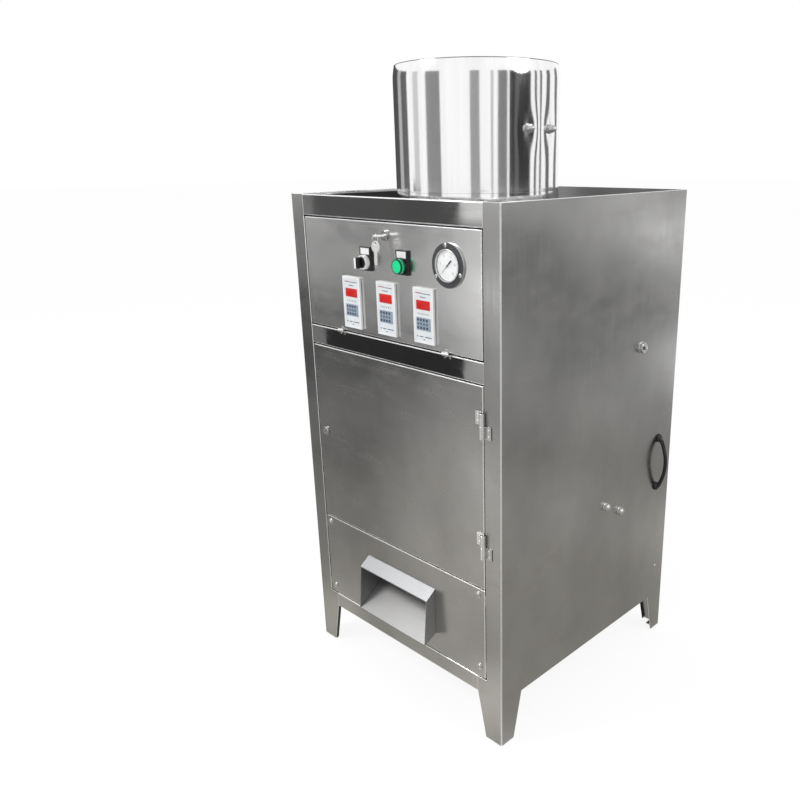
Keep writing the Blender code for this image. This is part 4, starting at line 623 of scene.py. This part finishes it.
PANEL_SCREWS = ((-0.2138, 0.2889), (-0.2107, 0.1410), (0.2107, 0.2893), (0.2131, 0.1452))
BACK_SCREWS = [(x, z) for z in (0.92, 0.52, 0.13) for x in (-0.235, 0.235)]
for index, (x, z) in enumerate(PANEL_SCREWS):
    screw(f"panel_screw_{index + 1}", (x, FRONT, z), OUT, "cabinet", 0.0042, 0.0024, 0.0062)
screw("side_screw", (HALF, FRONT + 0.4976, 0.1604), RIGHT, "cabinet", 0.0036, 0.0018)
for index, (x, z) in enumerate(BACK_SCREWS):
    screw(f"back_screw_{index + 1}", (x, BACK, z), -OUT, "cabinet", 0.0042, 0.0022, 0.0060)


# Hopper drum

DENT_DEPTH, DENT_WIDTH, DENT_HEIGHT = 0.0013, 0.015, 0.030
ROLL_WAVE = 0.0006
DRUM_STEPS = 288


def dented(point):
    """A point of the drum's sheet, which waves a little and is drawn in round each bolt."""
    radial = Vector((point.x, point.y - HOPPER.y, 0))
    distance = radial.length
    for _, angle in BOLT_ANGLES:
        away = point - (HOPPER + spoke(angle) * DRUM_RADIUS + UP * BOLT_HEIGHT)
        level = math.hypot(away.x, away.y)
        distance -= DENT_DEPTH * math.exp(-(level / DENT_WIDTH) ** 2
                                          - (away.z / DENT_HEIGHT) ** 2)
    distance += ROLL_WAVE * noise.noise(Vector((point.x * 9, point.y * 9, point.z * 3)))
    scaled = radial.normalized() * distance
    return Vector((scaled.x, scaled.y + HOPPER.y, point.z))


def rim_draw(height):
    """How far the drum's rolled rim is drawn in at a height."""
    return RIM_IN * max(0.0, 1 - (DRUM_TOP - height) / RIM_ROLL) ** 2


def drum_profile():
    """The drum's sheet: a flare at its foot, a straight wall and a rounded rim drawn in."""
    outer, inner = DRUM_RADIUS, DRUM_RADIUS - DRUM_SHEET
    flare, edge = 0.0009, DRUM_SHEET / 2
    bend, start = DRUM_TOP - RIM_ROLL, DRUM_TOP - edge
    points = [(inner, DRUM_LOW), (outer + flare, DRUM_LOW), (outer + flare, DRUM_SEAM - 0.019),
              (outer + flare * 0.02, DRUM_SEAM - 0.0004)]
    heights = [DRUM_SEAM + (bend - DRUM_SEAM) * step / 46 for step in range(46)]
    heights += [bend + (start - bend) * step / 16 for step in range(17)]
    points += [(outer - rim_draw(height), height) for height in heights]
    for step in range(1, 9):
        angle = math.radians(180 * step / 8)
        points.append((outer - rim_draw(start) - edge + edge * math.cos(angle),
                       start + edge * math.sin(angle)))
    heights = [start - (start - DRUM_LOW) * (step / 32) ** 1.5 for step in range(1, 32)]
    return points + [(inner - rim_draw(height), height) for height in heights]


def drum_ring(profile):
    """A profile turned about the drum's axis and dented as its sheet is."""
    return turned(profile, HOPPER, UP, DRUM_STEPS, closed=True, move=dented)


drum = new_piece("drum_shell", drum_ring(drum_profile()), DRUM, "cabinet", smooth=50)
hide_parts("hopper_drum")
# A dark ring on the drum's rolled lip: painted shade
lip = [(0.1480, 1.1640), (0.1492, 1.1640), (0.14942, 1.1648), (0.14935, 1.1656),
       (0.1490, 1.16585), (0.1480, 1.1659)]
new_piece("drum_lip", drum_ring([(radius - RIM_IN, height) for radius, height in lip]), LIP_SHADE,
          "cabinet", smooth=50)
new_piece("drum_seam_line", drum_ring([(0.1480, 0.9532), (0.14912, 0.9533), (0.14912, 0.9538),
                                       (0.1480, 0.9539)]), SEAM, "cabinet", smooth=40)

cone = new_piece("hopper_funnel", turned(
    [(0.1472, 0.9203), (0.1472, 0.9218), (0.1342, 0.9218), (0.1335, 0.9212), (0.1335, 0.9178),
     (0.032, 0.7652), (0.032, 0.7532), (0.0335, 0.7532), (0.0335, 0.7646), (0.135, 0.9170),
     (0.135, 0.9203)], HOPPER, UP, 160, closed=True), TUBE, "cabinet", smooth=30)
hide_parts("hopper_cone")

NUT_ACROSS = 0.0118
DOME = 0.0050
for label, angle in BOLT_ANGLES:
    direction = spoke(angle)
    centre = HOPPER + UP * BOLT_HEIGHT
    inside = DRUM_RADIUS - 0.0021
    skin = DRUM_RADIUS - 0.0008
    dome = [(DOME * math.cos(math.radians(a)), skin + 0.0085 + DOME * math.sin(math.radians(a)))
            for a in range(0, 90, 9)]
    acorn = turned([(0, skin + 0.005), (DOME, skin + 0.005)] + dome + [(0, skin + 0.0135)],
                   centre, direction, 48)
    washer = turned([(0, skin - 0.001), (0.0078, skin), (0.0078, skin + 0.0016),
                     (0.0074, skin + 0.0020), (0, skin + 0.0020)], centre, direction, 48)
    shank = turned([(0, inside - 0.006), (0.003, inside - 0.006), (0.003, inside - 0.002)],
                   centre, direction, 24)
    nut = new_piece(f"drum_nut_{label}", merged(
        hexagon(NUT_ACROSS, skin + 0.0018, skin + 0.0078, centre, direction), acorn, washer,
        shank, hexagon(NUT_ACROSS, inside - 0.0030, inside + 0.0004, centre, direction)),
        HINGE, "cabinet", smooth=30)
    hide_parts(f"drum_bolt_{label}")


# Side fittings

def side_nut(name, y, z, across, height, shank, reach, washer):
    """Nut, washer and threaded end on the right side."""
    centre = Vector((HALF, y, z))
    thread = [(shank * (1.0 if step % 2 else 0.88), height + 0.001 + (reach - height) * step / 12)
              for step in range(12)]
    end = [(0, height)] + thread + [(shank * 0.7, reach + 0.0012), (0, reach + 0.0012)]
    plate = [(0, 0.0001), (washer, 0.0001), (washer, 0.0011), (washer - 0.0003, 0.0014),
             (0, 0.0014)]
    return new_piece(name, merged(hexagon(across, 0.0012, height, centre, RIGHT),
                                  turned(plate, centre, RIGHT, 40),
                                  turned(end, centre, RIGHT, 28)), ZINC, "cabinet", smooth=30)


bolt = side_nut("side_nut", FRONT + 0.3964, 0.6658, across=0.0185, height=0.0082, shank=0.0040,
                reach=0.0110, washer=0.0115)
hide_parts("side_bolt")
STUDS_Y, STUDS_Z = FRONT + 0.322, 0.357
for label, sign in (("front", -1), ("rear", 1)):
    side_nut(f"stud_nut_{label}", STUDS_Y + sign * 0.0241, STUDS_Z - sign * 0.0125,
             across=0.0136, height=0.0078, shank=0.0030, reach=0.0095, washer=0.0082)

GRIP_Y = FRONT + 0.4806
GRIP_LOW = 0.3543
GRIP_HALF = 0.053
GRIP_REACH = 0.0192
GRIP_START = 0.003
GRIP_STEPS = 48


def handle(name, side, node):
    """Bow grip that thickens towards its two flared feet."""
    wall = side * (HALF + 0.0003)
    middle = GRIP_LOW + GRIP_HALF
    route, radii = [], []
    for step in range(GRIP_STEPS + 1):
        share = step / GRIP_STEPS
        out = GRIP_START + (GRIP_REACH - GRIP_START) * math.sin(math.pi * share) ** 0.72
        route.append((wall + side * out, GRIP_Y, middle + GRIP_HALF * (2 * share - 1)))
        radii.append(0.0038 + 0.0014 * abs(2 * share - 1) ** 8)
    foot = [(0, 0), (0.0086, 0), (0.0087, 0.0013), (0.0082, 0.0034), (0.0070, 0.0048),
            (0.0054, 0.0054), (0.0034, 0.0054), (0.0030, 0.0042), (0, 0.0040)]
    feet = [turned(foot, (wall, GRIP_Y, height), RIGHT * side, 40)
            for height in (middle - GRIP_HALF, middle + GRIP_HALF)]
    piece = new_piece(name, merged(tube(route, radii, 24), *feet), BLACK_GLOSS, "cabinet",
                      smooth=40)
    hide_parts(node)


handle("right_grip", 1, "right_handle")
handle("left_grip", -1, "left_handle")


# Back fittings

EXHAUST_HEIGHT = 0.640
duct = new_piece("duct_shell", turned(
    [(0.038, 0.0885), (0.040, 0.0885), (0.040, 0.3200), (0.0405, 0.3350), (0.0415, 0.3368),
     (0.0468, 0.3368), (0.0470, 0.3372), (0.0470, 0.3396), (0.0468, 0.3400), (0.0384, 0.3400),
     (0.038, 0.3394)], (0, HOPPER.y, EXHAUST_HEIGHT), -OUT, 128, closed=True),
    TUBE, "cabinet", smooth=40)
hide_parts("exhaust_duct")


# Door furniture

for label, axis in DOOR_HINGES:
    for body, side, low, high in (("door", -1, 0.0003, 0.022), ("cabinet", 1, -0.022, 0)):
        length = high - low
        barrel = turned([(0, 0), (0.0043, 0), (0.00465, 0.0004), (0.00465, length - 0.0004),
                         (0.0043, length), (0, length)], axis + UP * low, UP, 40)
        rivets = [turned([(0, 0), (0.0022, 0), (0.0021, 0.0006), (0.0013, 0.0010), (0, 0.0011)],
                         (axis.x + side * 0.0118, FRONT - 0.0018, axis.z + low + length * share),
                         OUT, 20) for share in (0.26, 0.74)]
        new_piece(f"{label}_hinge_barrel_{body}", merged(barrel, *rivets), HINGE_PLATE, body,
                  smooth=35)

for name, centre, body in (("door_lock_collar", DOOR_LOCK, "door_lock"),
                           ("panel_lock_collar", PANEL_LOCK, "panel_lock")):
    front_turned(name, [(0.0062, 0.0032), (0.0064, 0.0037), (0.0076, 0.0038), (0.0086, 0.0031),
                        (0.0090, 0.0020), (0.0091, 0.0004), (0.0062, 0.0004)],
                 centre, 64, DARK_PLATE, body)
# The key slot: a dark shape on the lock's face, painted shade
new_piece("door_keyway", bars(DOOR_LOCK.x, DOOR_LOCK.z, (
    (-0.0034, 0.0034, -0.0006, 0.0006), (-0.0012, 0.0012, -0.0016, 0.0004)),
    FRONT - 0.0038, FRONT - 0.0030), INK, "door_lock")


# Timers: spans are (left, right, low, high) from a timer's centre

TIMER_FACE = FRONT - 0.0043
TIMER_FRONT = TIMER_FACE - 0.0006
TIMER_READINGS = ("0035", "0050", "0035")
TIMER_RIM = ((-0.0243, -0.0205, -0.0463, 0.0463), (0.0205, 0.0243, -0.0463, 0.0463),
             (-0.0206, 0.0206, 0.0425, 0.0463), (-0.0206, 0.0206, -0.0463, -0.0425))
TIMER_WINDOW = (-0.0167, 0.0160, 0.0103, 0.0256)
TIMER_HEADER = (-0.0180, -0.0020, 0.0366, 0.0382)
DOT_X = [step * 0.0048 - 0.0128 for step in range(6)]
TIMER_MARKS = (
    (-0.0008, 0.0170, 0.0362, 0.0374), (-0.0075, 0.0062, 0.0304, 0.0316),
    *((dot - 0.0006, dot + 0.0006, 0.0020, 0.0046) for dot in DOT_X),
    (-0.0172, -0.0145, -0.0358, -0.0340), (-0.0105, -0.0020, -0.0356, -0.0342),
    (0.0020, 0.0178, -0.0356, -0.0342), (-0.0016, 0.0016, -0.0404, -0.0390))
KEY_HALF = 0.0020
KEY_X = [column * 0.0071 - 0.0133 for column in range(4)]
KEY_ROWS = [[(key - KEY_HALF, key + KEY_HALF, row - KEY_HALF, row + KEY_HALF) for key in KEY_X]
            for row in (-0.0070, -0.0136, -0.0202)]

# Seven-segment digits: which bars each has, and each bar's middle and whether it lies flat
DIGIT_WIDTH, DIGIT_HEIGHT, DIGIT_BAR = 0.0040, 0.0078, 0.0009
DIGIT_X, DIGIT_STEP, DIGIT_Z = -0.0106, 0.0068, 0.01795
SEGMENTS = {"0": "abcdef", "3": "abcdg", "5": "acdfg"}
HALF_WIDE, HALF_TALL = DIGIT_WIDTH / 2, DIGIT_HEIGHT / 2
SEGMENT_SPOTS = {"a": (0, HALF_TALL, 1), "g": (0, 0, 1), "d": (0, -HALF_TALL, 1),
                 "f": (-HALF_WIDE, HALF_TALL / 2, 0), "b": (HALF_WIDE, HALF_TALL / 2, 0),
                 "e": (-HALF_WIDE, -HALF_TALL / 2, 0), "c": (HALF_WIDE, -HALF_TALL / 2, 0)}


def digit(character, x):
    """Spans of a digit's bars."""
    spans = []
    for mark in SEGMENTS[character]:
        dx, dz, flat = SEGMENT_SPOTS[mark]
        long = (DIGIT_WIDTH if flat else HALF_TALL) / 2 - DIGIT_BAR * 0.35
        wide, tall = (long, DIGIT_BAR / 2) if flat else (DIGIT_BAR / 2, long)
        spans.append((x + dx - wide, x + dx + wide, DIGIT_Z + dz - tall, DIGIT_Z + dz + tall))
    return spans


def timer(tag, x, z, reading):
    """A timer's case with its rim, label, window with digits, printed marks and keypad."""
    def lay(part, spans, near, far, material, edge=0.0):
        """Bars of one material, as a piece of this timer."""
        new_piece(f"{tag}_{part}", bars(x, z, spans, near, far, edge), material,
                  "control_panel", smooth=40 if edge else None)

    print_near, print_far = TIMER_FRONT + 0.0003, TIMER_FRONT + 0.0008
    key_near, key_far = TIMER_FRONT - 0.0003, TIMER_FRONT + 0.0004
    refine(tag, WHITE, 0.0003)
    lay("rim", TIMER_RIM, TIMER_FRONT, TIMER_FACE + 0.0010, WHITE, 0.0003)
    new_piece(f"{tag}_label", flat_shape(rounded(x, z, 0.0404, 0.0844, 0.0012),
                                         TIMER_FACE - 0.0001, 0.0004), LABEL, "control_panel")
    lay("window", [TIMER_WINDOW], TIMER_FACE - 0.0008, TIMER_FACE + 0.0003, RED, 0.0005)
    digits = [span for index, character in enumerate(reading)
              for span in digit(character, DIGIT_X + index * DIGIT_STEP)]
    lay("digits", digits, TIMER_FACE - 0.0010, TIMER_FACE - 0.0007, DIGIT)
    lay("header", [TIMER_HEADER], print_near, print_far, RED_INK)
    lay("marks", TIMER_MARKS, print_near, print_far, INK)
    new_piece(f"{tag}_keypad", flat_shape(rounded(x - 0.0004, z - 0.0137, 0.0342, 0.0216, 0.0012),
                                          TIMER_FRONT + 0.0002, 0.0006), KEYPAD, "control_panel")
    lay("keys_dark", KEY_ROWS[0] + KEY_ROWS[2], key_near, key_far, KEY_DARK, 0.0004)
    lay("keys_pale", KEY_ROWS[1], key_near, key_far, KEY_PALE, 0.0004)


for index, reading in enumerate(TIMER_READINGS):
    timer(f"timer_{index + 1}", TIMER_X[index], TIMER_Z, reading)


# Selector and button

LEGEND_FACE = FRONT - 0.0045
LEGEND_FRAME = ((-0.0138, -0.0117, 0.0122, 0.0258), (0.0117, 0.0138, 0.0122, 0.0258),
                (-0.0118, 0.0118, 0.0239, 0.0258), (-0.0118, 0.0118, 0.0122, 0.0131))
for name, centre, node in (("selector_legend", SELECTOR, "selector_base"),
                           ("button_legend", BUTTON, "button_base")):
    refine(node, BLACK, 0.0008, 3)
    new_piece(f"{name}_frame", bars(centre.x, centre.z, LEGEND_FRAME, LEGEND_FACE - 0.0008,
                                    LEGEND_FACE + 0.0006, 0.0003),
              BLACK, "control_panel", smooth=40)
    insert = rounded(centre.x, centre.z + 0.0185, 0.0236, 0.0112, 0.0008)
    new_piece(f"{name}_insert", flat_shape(insert, LEGEND_FACE - 0.0003, 0.0005), PAPER,
              "control_panel")

front_turned("selector_ring", [
    (0.0100, 0.0125), (0.0100, 0.0133), (0.0114, 0.0133), (0.0122, 0.0128), (0.0126, 0.0118),
    (0.0127, 0.0100), (0.0125, 0.0096), (0.0127, 0.0092), (0.0127, 0.0052), (0.0122, 0.0046)],
    SELECTOR, 96, SILVER_RING, "control_panel")
TICKS = ((-45, 0.0105, 0.0124, 0.0012), (0, 0.0105, 0.0124, 0.0010), (45, 0.0105, 0.0124, 0.0012),
         (75, 0.0108, 0.0122, 0.0008), (100, 0.0106, 0.0123, 0.0016),
         (130, 0.0108, 0.0122, 0.0008))
new_piece("selector_ticks", merged(*(radial_bar(SELECTOR + OUT * 0.0133, *tick, 0.0002)
                                     for tick in TICKS)), INK, "control_panel")

grip = merged(
    turned([(0, 0.0131), (0.0093, 0.0131), (0.0095, 0.0134), (0.0095, 0.0156), (0.0091, 0.0162),
            (0, 0.0162)], SELECTOR, OUT, 72),
    block(SELECTOR + Vector((-0.0032, -0.0273, -0.0094)),
          SELECTOR + Vector((0.0032, -0.0135, 0.0094)), 0.0010, 3))
knob = new_piece("selector_grip", grip, BLACK_GLOSS, "selector", smooth=40)
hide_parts("selector_knob")
new_piece("selector_strip", block(SELECTOR + Vector((-0.0024, -0.0277, -0.0092)),
                                  SELECTOR + Vector((0.0024, -0.0262, 0.0092)), 0.0004),
          PAPER, "selector", smooth=40)

front_turned("button_bezel", [
    (0.0126, 0.0046), (0.0136, 0.0046), (0.01375, 0.0050), (0.0137, 0.0083), (0.0135, 0.0093),
    (0.0131, 0.0097), (0.0128, 0.0096), (0.0126, 0.0088)],
    BUTTON, 96, BLACK_GLOSS, "control_panel")
lens = front_turned("button_lens", [
    (0, 0.0062), (0.0121, 0.0062), (0.0122, 0.0064), (0.0122, 0.0150), (0.0119, 0.0158),
    (0.0113, 0.0163), (0.0104, 0.0161), (0.0060, 0.0164), (0, 0.0165)],
    BUTTON, 96, GREEN, "button", closed=False)
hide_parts("green_button")
# A dark green ring on the lens's rounded edge: painted reflection
front_turned("button_lens_edge", [
    (0.0106, 0.0160), (0.0106, 0.0165), (0.0118, 0.0166), (0.0124, 0.0161), (0.0126, 0.0153),
    (0.0126, 0.0140), (0.0120, 0.0140), (0.0118, 0.0156)],
    BUTTON, 96, GREEN_EDGE_REFLECTION, "button")


# Gauge

DIAL_START, DIAL_SWEEP = 225, 270
case = front_turned("gauge_shell", [
    (0, -0.052), (0.0068, -0.052), (0.0070, -0.0515), (0.0070, -0.034), (0.0262, -0.034),
    (0.0270, -0.0332), (0.0270, 0.0003), (0.0353, 0.0003), (0.0356, 0.0006), (0.0357, 0.0026),
    (0.0352, 0.0032), (0.0261, 0.0033), (0.0240, 0.0033), (0.0240, 0.0024), (0, 0.0024)],
    GAUGE, 128, CRINKLE, "control_panel", closed=False)
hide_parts("gauge_case")
front_turned("gauge_bezel", [
    (0.0261, 0.0030), (0.0263, 0.0044), (0.0262, 0.0056), (0.0258, 0.0063), (0.0253, 0.0065),
    (0.0248, 0.0064), (0.0245, 0.0060), (0.0244, 0.0052), (0.0244, 0.0026), (0.0250, 0.0026)],
    GAUGE, 128, CHROME, "control_panel")
front_turned("gauge_edge", [
    (0.0353, 0.0001), (0.03575, 0.0003), (0.0358, 0.0024), (0.0356, 0.0030), (0.0352, 0.0033),
    (0.0351, 0.0030), (0.0353, 0.0024)], GAUGE, 128, HINGE, "control_panel")
front_turned("gauge_dial", [(0, 0.0024), (0.0244, 0.0024), (0.0244, 0.0029), (0, 0.0029)],
             GAUGE, 96, DIAL, "control_panel", closed=False, smooth=None)

scale_marks = []
for step in range(51):
    inner, width = (0.0210, 0.00018) if step % 10 else (0.0196, 0.0004)
    scale_marks.append(radial_bar(GAUGE + OUT * 0.00295, DIAL_START + DIAL_SWEEP * step / 50,
                                  inner, 0.0226, width, 0.0001))
new_piece("gauge_scale", merged(*scale_marks), PALE_INK, "control_panel")
for step in range(6):
    curve = bpy.data.curves.new(f"dial_number_{step}", "FONT")
    curve.body = str(step * 2)
    curve.size = 0.0050
    curve.align_x = "CENTER"
    curve.align_y = "CENTER"
    curve.extrude = 0.00006
    curve.materials.append(PALE_INK)
    number = add_object(f"dial_number_{step}", curve)
    number.rotation_euler = (math.pi / 2, 0, 0)
    number.location = (GAUGE + OUT * 0.00298
                       + clock(DIAL_START + DIAL_SWEEP * step / 5)[0] * 0.0162)
    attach(number, "control_panel")

for index in range(3):
    spot = GAUGE + clock(index * 120 - 6)[0] * 0.0313 + OUT * 0.0031
    screw(f"gauge_screw_{index + 1}", spot, OUT, "control_panel", 0.0034, 0.0022, material=CHROME)

# The needle's outline: (along it, across it) from its axis, at rest
along, across = clock(DIAL_START)
outline = [GAUGE + along * length + across * wide for length, wide in (
    (0.0150, 0.00008), (0.0150, -0.00008), (0.0, -0.0004), (-0.0040, -0.0005),
    (-0.0046, -0.0011), (-0.0122, -0.0010), (-0.0122, 0.0010), (-0.0046, 0.0011),
    (-0.0040, 0.0005), (0.0, 0.0004))]
blade = flat_shape([(point.x, point.z) for point in outline], FRONT - 0.00402, 0.0005)
hub = turned([(0.0011, 0.0035), (0.0019, 0.0035), (0.0019, 0.0041), (0.0016, 0.0044),
              (0.0011, 0.0044)], GAUGE, OUT, 32, closed=True)
needle = new_piece("needle_blade", merged(blade, hub), BLACK_GLOSS, "needle", smooth=30)
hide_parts("gauge_needle")
front_turned("needle_post", [(0, 0.0028), (0.0010, 0.0028), (0.0010, 0.0045), (0.0006, 0.0046),
                             (0, 0.0046)], GAUGE, 24, ZINC, "control_panel", closed=False)
pane = front_turned("gauge_pane", [(0, 0.0048), (0.0242, 0.0047), (0.0242, 0.0055),
                                   (0.012, 0.0058), (0, 0.0059)],
                    GAUGE, 96, GLASS, "control_panel", closed=False, smooth=30)
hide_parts("gauge_glass")


# Stage, light and camera

CARD_DISTANCE = 3.2
CARD_TOP = 1.75
SHEEN_HEIGHT = 0.002
SHEEN_RADIUS = 14.0
SHEEN_LEVEL = 0.52
FLOOR_REACH = 30


def bare_tree(owner):
    """The emptied node tree of a material or a world."""
    owner.use_nodes = True
    owner.node_tree.nodes.clear()
    return owner.node_tree


def stage_sheet(name, corners):
    """A flat sheet of the stage, and the empty node tree of its material."""
    mesh = bpy.data.meshes.new(name)
    mesh.from_pydata([Vector(corner) for corner in corners], [], [range(len(corners))])
    material = bpy.data.materials.new(name)
    mesh.materials.append(material)
    return add_object(name, mesh), bare_tree(material)


def only_reflected(sheet):
    """Leave a sheet of the stage to be seen in reflections alone."""
    for ray in ("camera", "diffuse", "transmission", "volume_scatter", "shadow"):
        setattr(sheet, f"visible_{ray}", False)


def stage_card(name, corners, level):
    """A plain grey card that shows only in reflections."""
    card, tree = stage_sheet(name, corners)
    glow = add(tree, "ShaderNodeEmission", Color=grey(level))
    add(tree, "ShaderNodeOutputMaterial", Surface=glow.outputs[0])
    only_reflected(card)


def round_card(name, start, stop, low, level):
    """An upright card on an arc round the hopper, in degrees from +X towards +Y."""
    steps = max(1, round((stop - start) / 6))
    turns = [math.radians(start + (stop - start) * step / steps) for step in range(steps + 1)]
    places = [HOPPER + spoke(turn) * CARD_DISTANCE for turn in turns]
    stage_card(name, [spot + UP * low for spot in places]
               + [spot + UP * CARD_TOP for spot in reversed(places)], level)


def ground_sheen(pools):
    """The floor as polished steel mirrors it: a grey field with soft darker and lighter pools,
    each (centre, reach, what it multiplies the grey by)."""
    turns = [2 * math.pi * step / 48 for step in range(48)]
    sheen, tree = stage_sheet("ground_sheen", [
        spoke(turn) * SHEEN_RADIUS + UP * SHEEN_HEIGHT for turn in turns])
    spot = place(tree)
    level = SHEEN_LEVEL
    for centre, reach, depth in pools:
        away = add(tree, "ShaderNodeVectorMath", operation="DISTANCE")
        feed(tree, spot, away.inputs[0])
        feed(tree, (*centre, SHEEN_HEIGHT), away.inputs[1])
        fall = add(tree, "ShaderNodeMapRange", interpolation_type="SMOOTHSTEP",
                   Value=away.outputs["Value"], From_Min=0.0, From_Max=reach,
                   To_Min=depth, To_Max=1.0)
        level = combine(tree, level, fall.outputs["Result"], "MULTIPLY")
    away = add(tree, "ShaderNodeVectorMath", operation="LENGTH")
    feed(tree, spot, away.inputs[0])
    near = spread(tree, away.outputs["Value"], 0, 1, 0.6, 2.4)
    glow = add(tree, "ShaderNodeEmission", Strength=level,
               Color=blend_colour(tree, near, (1.0, 0.965, 0.90), (1.0, 1.0, 1.0)))
    add(tree, "ShaderNodeOutputMaterial", Surface=glow.outputs[0])
    only_reflected(sheen)


ground_sheen((
    ((-2.4, -1.8), 1.7, 0.15), ((-3.8, -2.5), 2.4, 0.03), ((-2.4, -4.3), 2.0, 5.60),
    ((-7.9, -5.6), 4.2, 0.26), ((-9.4, -10.4), 4.5, 2.40), ((-1.45, -2.4), 0.75, 2.40),
    ((-1.15, -0.95), 0.75, 0.42), ((-0.7, -1.35), 0.6, 1.75), ((-0.35, -1.0), 0.6, 1.20),
    ((-0.65, -0.55), 0.5, 0.65), ((-0.12, -0.85), 0.4, 1.35), ((0.18, -0.33), 0.21, 1.85),
    ((-0.33, -0.32), 0.20, 1.40), ((1.8, 2.2), 1.0, 0.45), ((2.7, 1.9), 1.0, 2.00),
    ((3.2, 3.3), 2.0, 0.42), ((5.9, 6.2), 3.6, 0.28), ((1.1, 2.6), 1.0, 4.20),
    ((4.3, 8.6), 3.0, 6.00), ((8.9, 10.0), 4.0, 0.25), ((3.0, 5.9), 1.4, 1.60),
    ((1.1, 0.95), 0.7, 0.70), ((0.5, 0.1), 0.8, 0.74), ((0.35, 0.75), 0.4, 1.50)))
for name, left, right, y, low, high, level in (
        ("rail_card", -3.56, -2.15, -2.6, 0.56, 0.84, 0.13),
        ("rail_end_card", -3.90, -3.56, -2.6, 0.56, 0.84, 0.30),
        ("middle_card", -2.44, -1.39, -1.85, 0.01, 0.172, 0.045),
        ("middle_end_card", -2.80, -2.44, -1.85, 0.01, 0.172, 0.28)):
    stage_card(name, ((left, y, low), (right, y, low), (right, y, high), (left, y, high)), level)
for index, (start, stop, level) in enumerate((
        (142, 181, 0.08), (181, 191, 0.45), (191, 206, 0.12), (242, 264, 0.27),
        (305, 318, 0.36), (333, 336, 0.40), (342, 354, 0.22), (357, 365, 0.05),
        (365, 371, 0.12), (371, 389, 0.03), (396, 400, 0.08), (406, 410, 0.12),
        (420, 429, 0.15), (444, 454, 0.20))):
    round_card(f"card_{index + 1}", start, stop, 0.78, level)
round_card("pale_card", 219, 229, 0.83, 0.62)


def mixed(tree, share, first, second, output):
    """Show two shaders mixed, all of the second where the share is 1."""
    mix = add(tree, "ShaderNodeMixShader")
    for socket, value in enumerate((share, first.outputs[0], second.outputs[0])):
        feed(tree, value, mix.inputs[socket])
    add(tree, output, Surface=mix.outputs[0])


def looked_at(tree):
    """1 for a ray of sight, straight, mirrored or through glass, and 0 for a ray of light."""
    rays = add(tree, "ShaderNodeLightPath").outputs
    straight_or_mirrored = combine(tree, rays["Is Camera Ray"], rays["Is Glossy Ray"], "MAXIMUM")
    return combine(tree, straight_or_mirrored, rays["Is Transmission Ray"], "MAXIMUM")


floor, tree = stage_sheet("floor", [(x * FLOOR_REACH, y * FLOOR_REACH, 0)
                                    for x, y in ((-1, -1), (1, -1), (1, 1), (-1, 1))])
mixed(tree, combine(tree, looked_at(tree), 0.82, "MULTIPLY"),
      add(tree, "ShaderNodeBsdfDiffuse", Color=grey(0.86)),
      add(tree, "ShaderNodeEmission", Color=grey(1.0), Strength=1.08),
      "ShaderNodeOutputMaterial")

world = bpy.data.worlds.new("studio")
bpy.context.scene.world = world
tree = bare_tree(world)
mixed(tree, looked_at(tree),
      add(tree, "ShaderNodeBackground", Color=grey(1.0), Strength=0.66),
      add(tree, "ShaderNodeBackground", Color=grey(1.0), Strength=1.0),
      "ShaderNodeOutputWorld")


def area_light(name, spot, target, size, power):
    """A round lamp aimed at a point."""
    data = bpy.data.lights.new(name, "AREA")
    data.shape = "DISK"
    data.size = size
    data.energy = power
    lamp = add_object(name, data)
    lamp.location = spot
    lamp.rotation_euler = (Vector(target) - Vector(spot)).to_track_quat("-Z", "Y").to_euler()


area_light("key_light", (-1.3, -2.2, 2.6), (0, 0, 0.7), 1.2, 42)
area_light("fill_light", (2.6, 0.6, 2.2), (0, 0, 0.6), 1.6, 22)

lens_data = bpy.data.cameras.new("camera")
lens_data.sensor_width = 36.0
lens_data.lens = 35.234
lens_data.shift_x = -0.1059
lens_data.shift_y = 0.0036
camera = add_object("camera", lens_data)
camera.matrix_world = Matrix((
    (0.72891501, -0.20101878, 0.65442674, 1.0401),
    (0.68455758, 0.22517139, -0.69331001, -1.12835),
    (-0.00798985, 0.95335686, 0.30173973, 1.0152),
    (0, 0, 0, 1)))
bpy.context.scene.camera = camera
bpy.context.scene.view_settings.view_transform = "Standard"
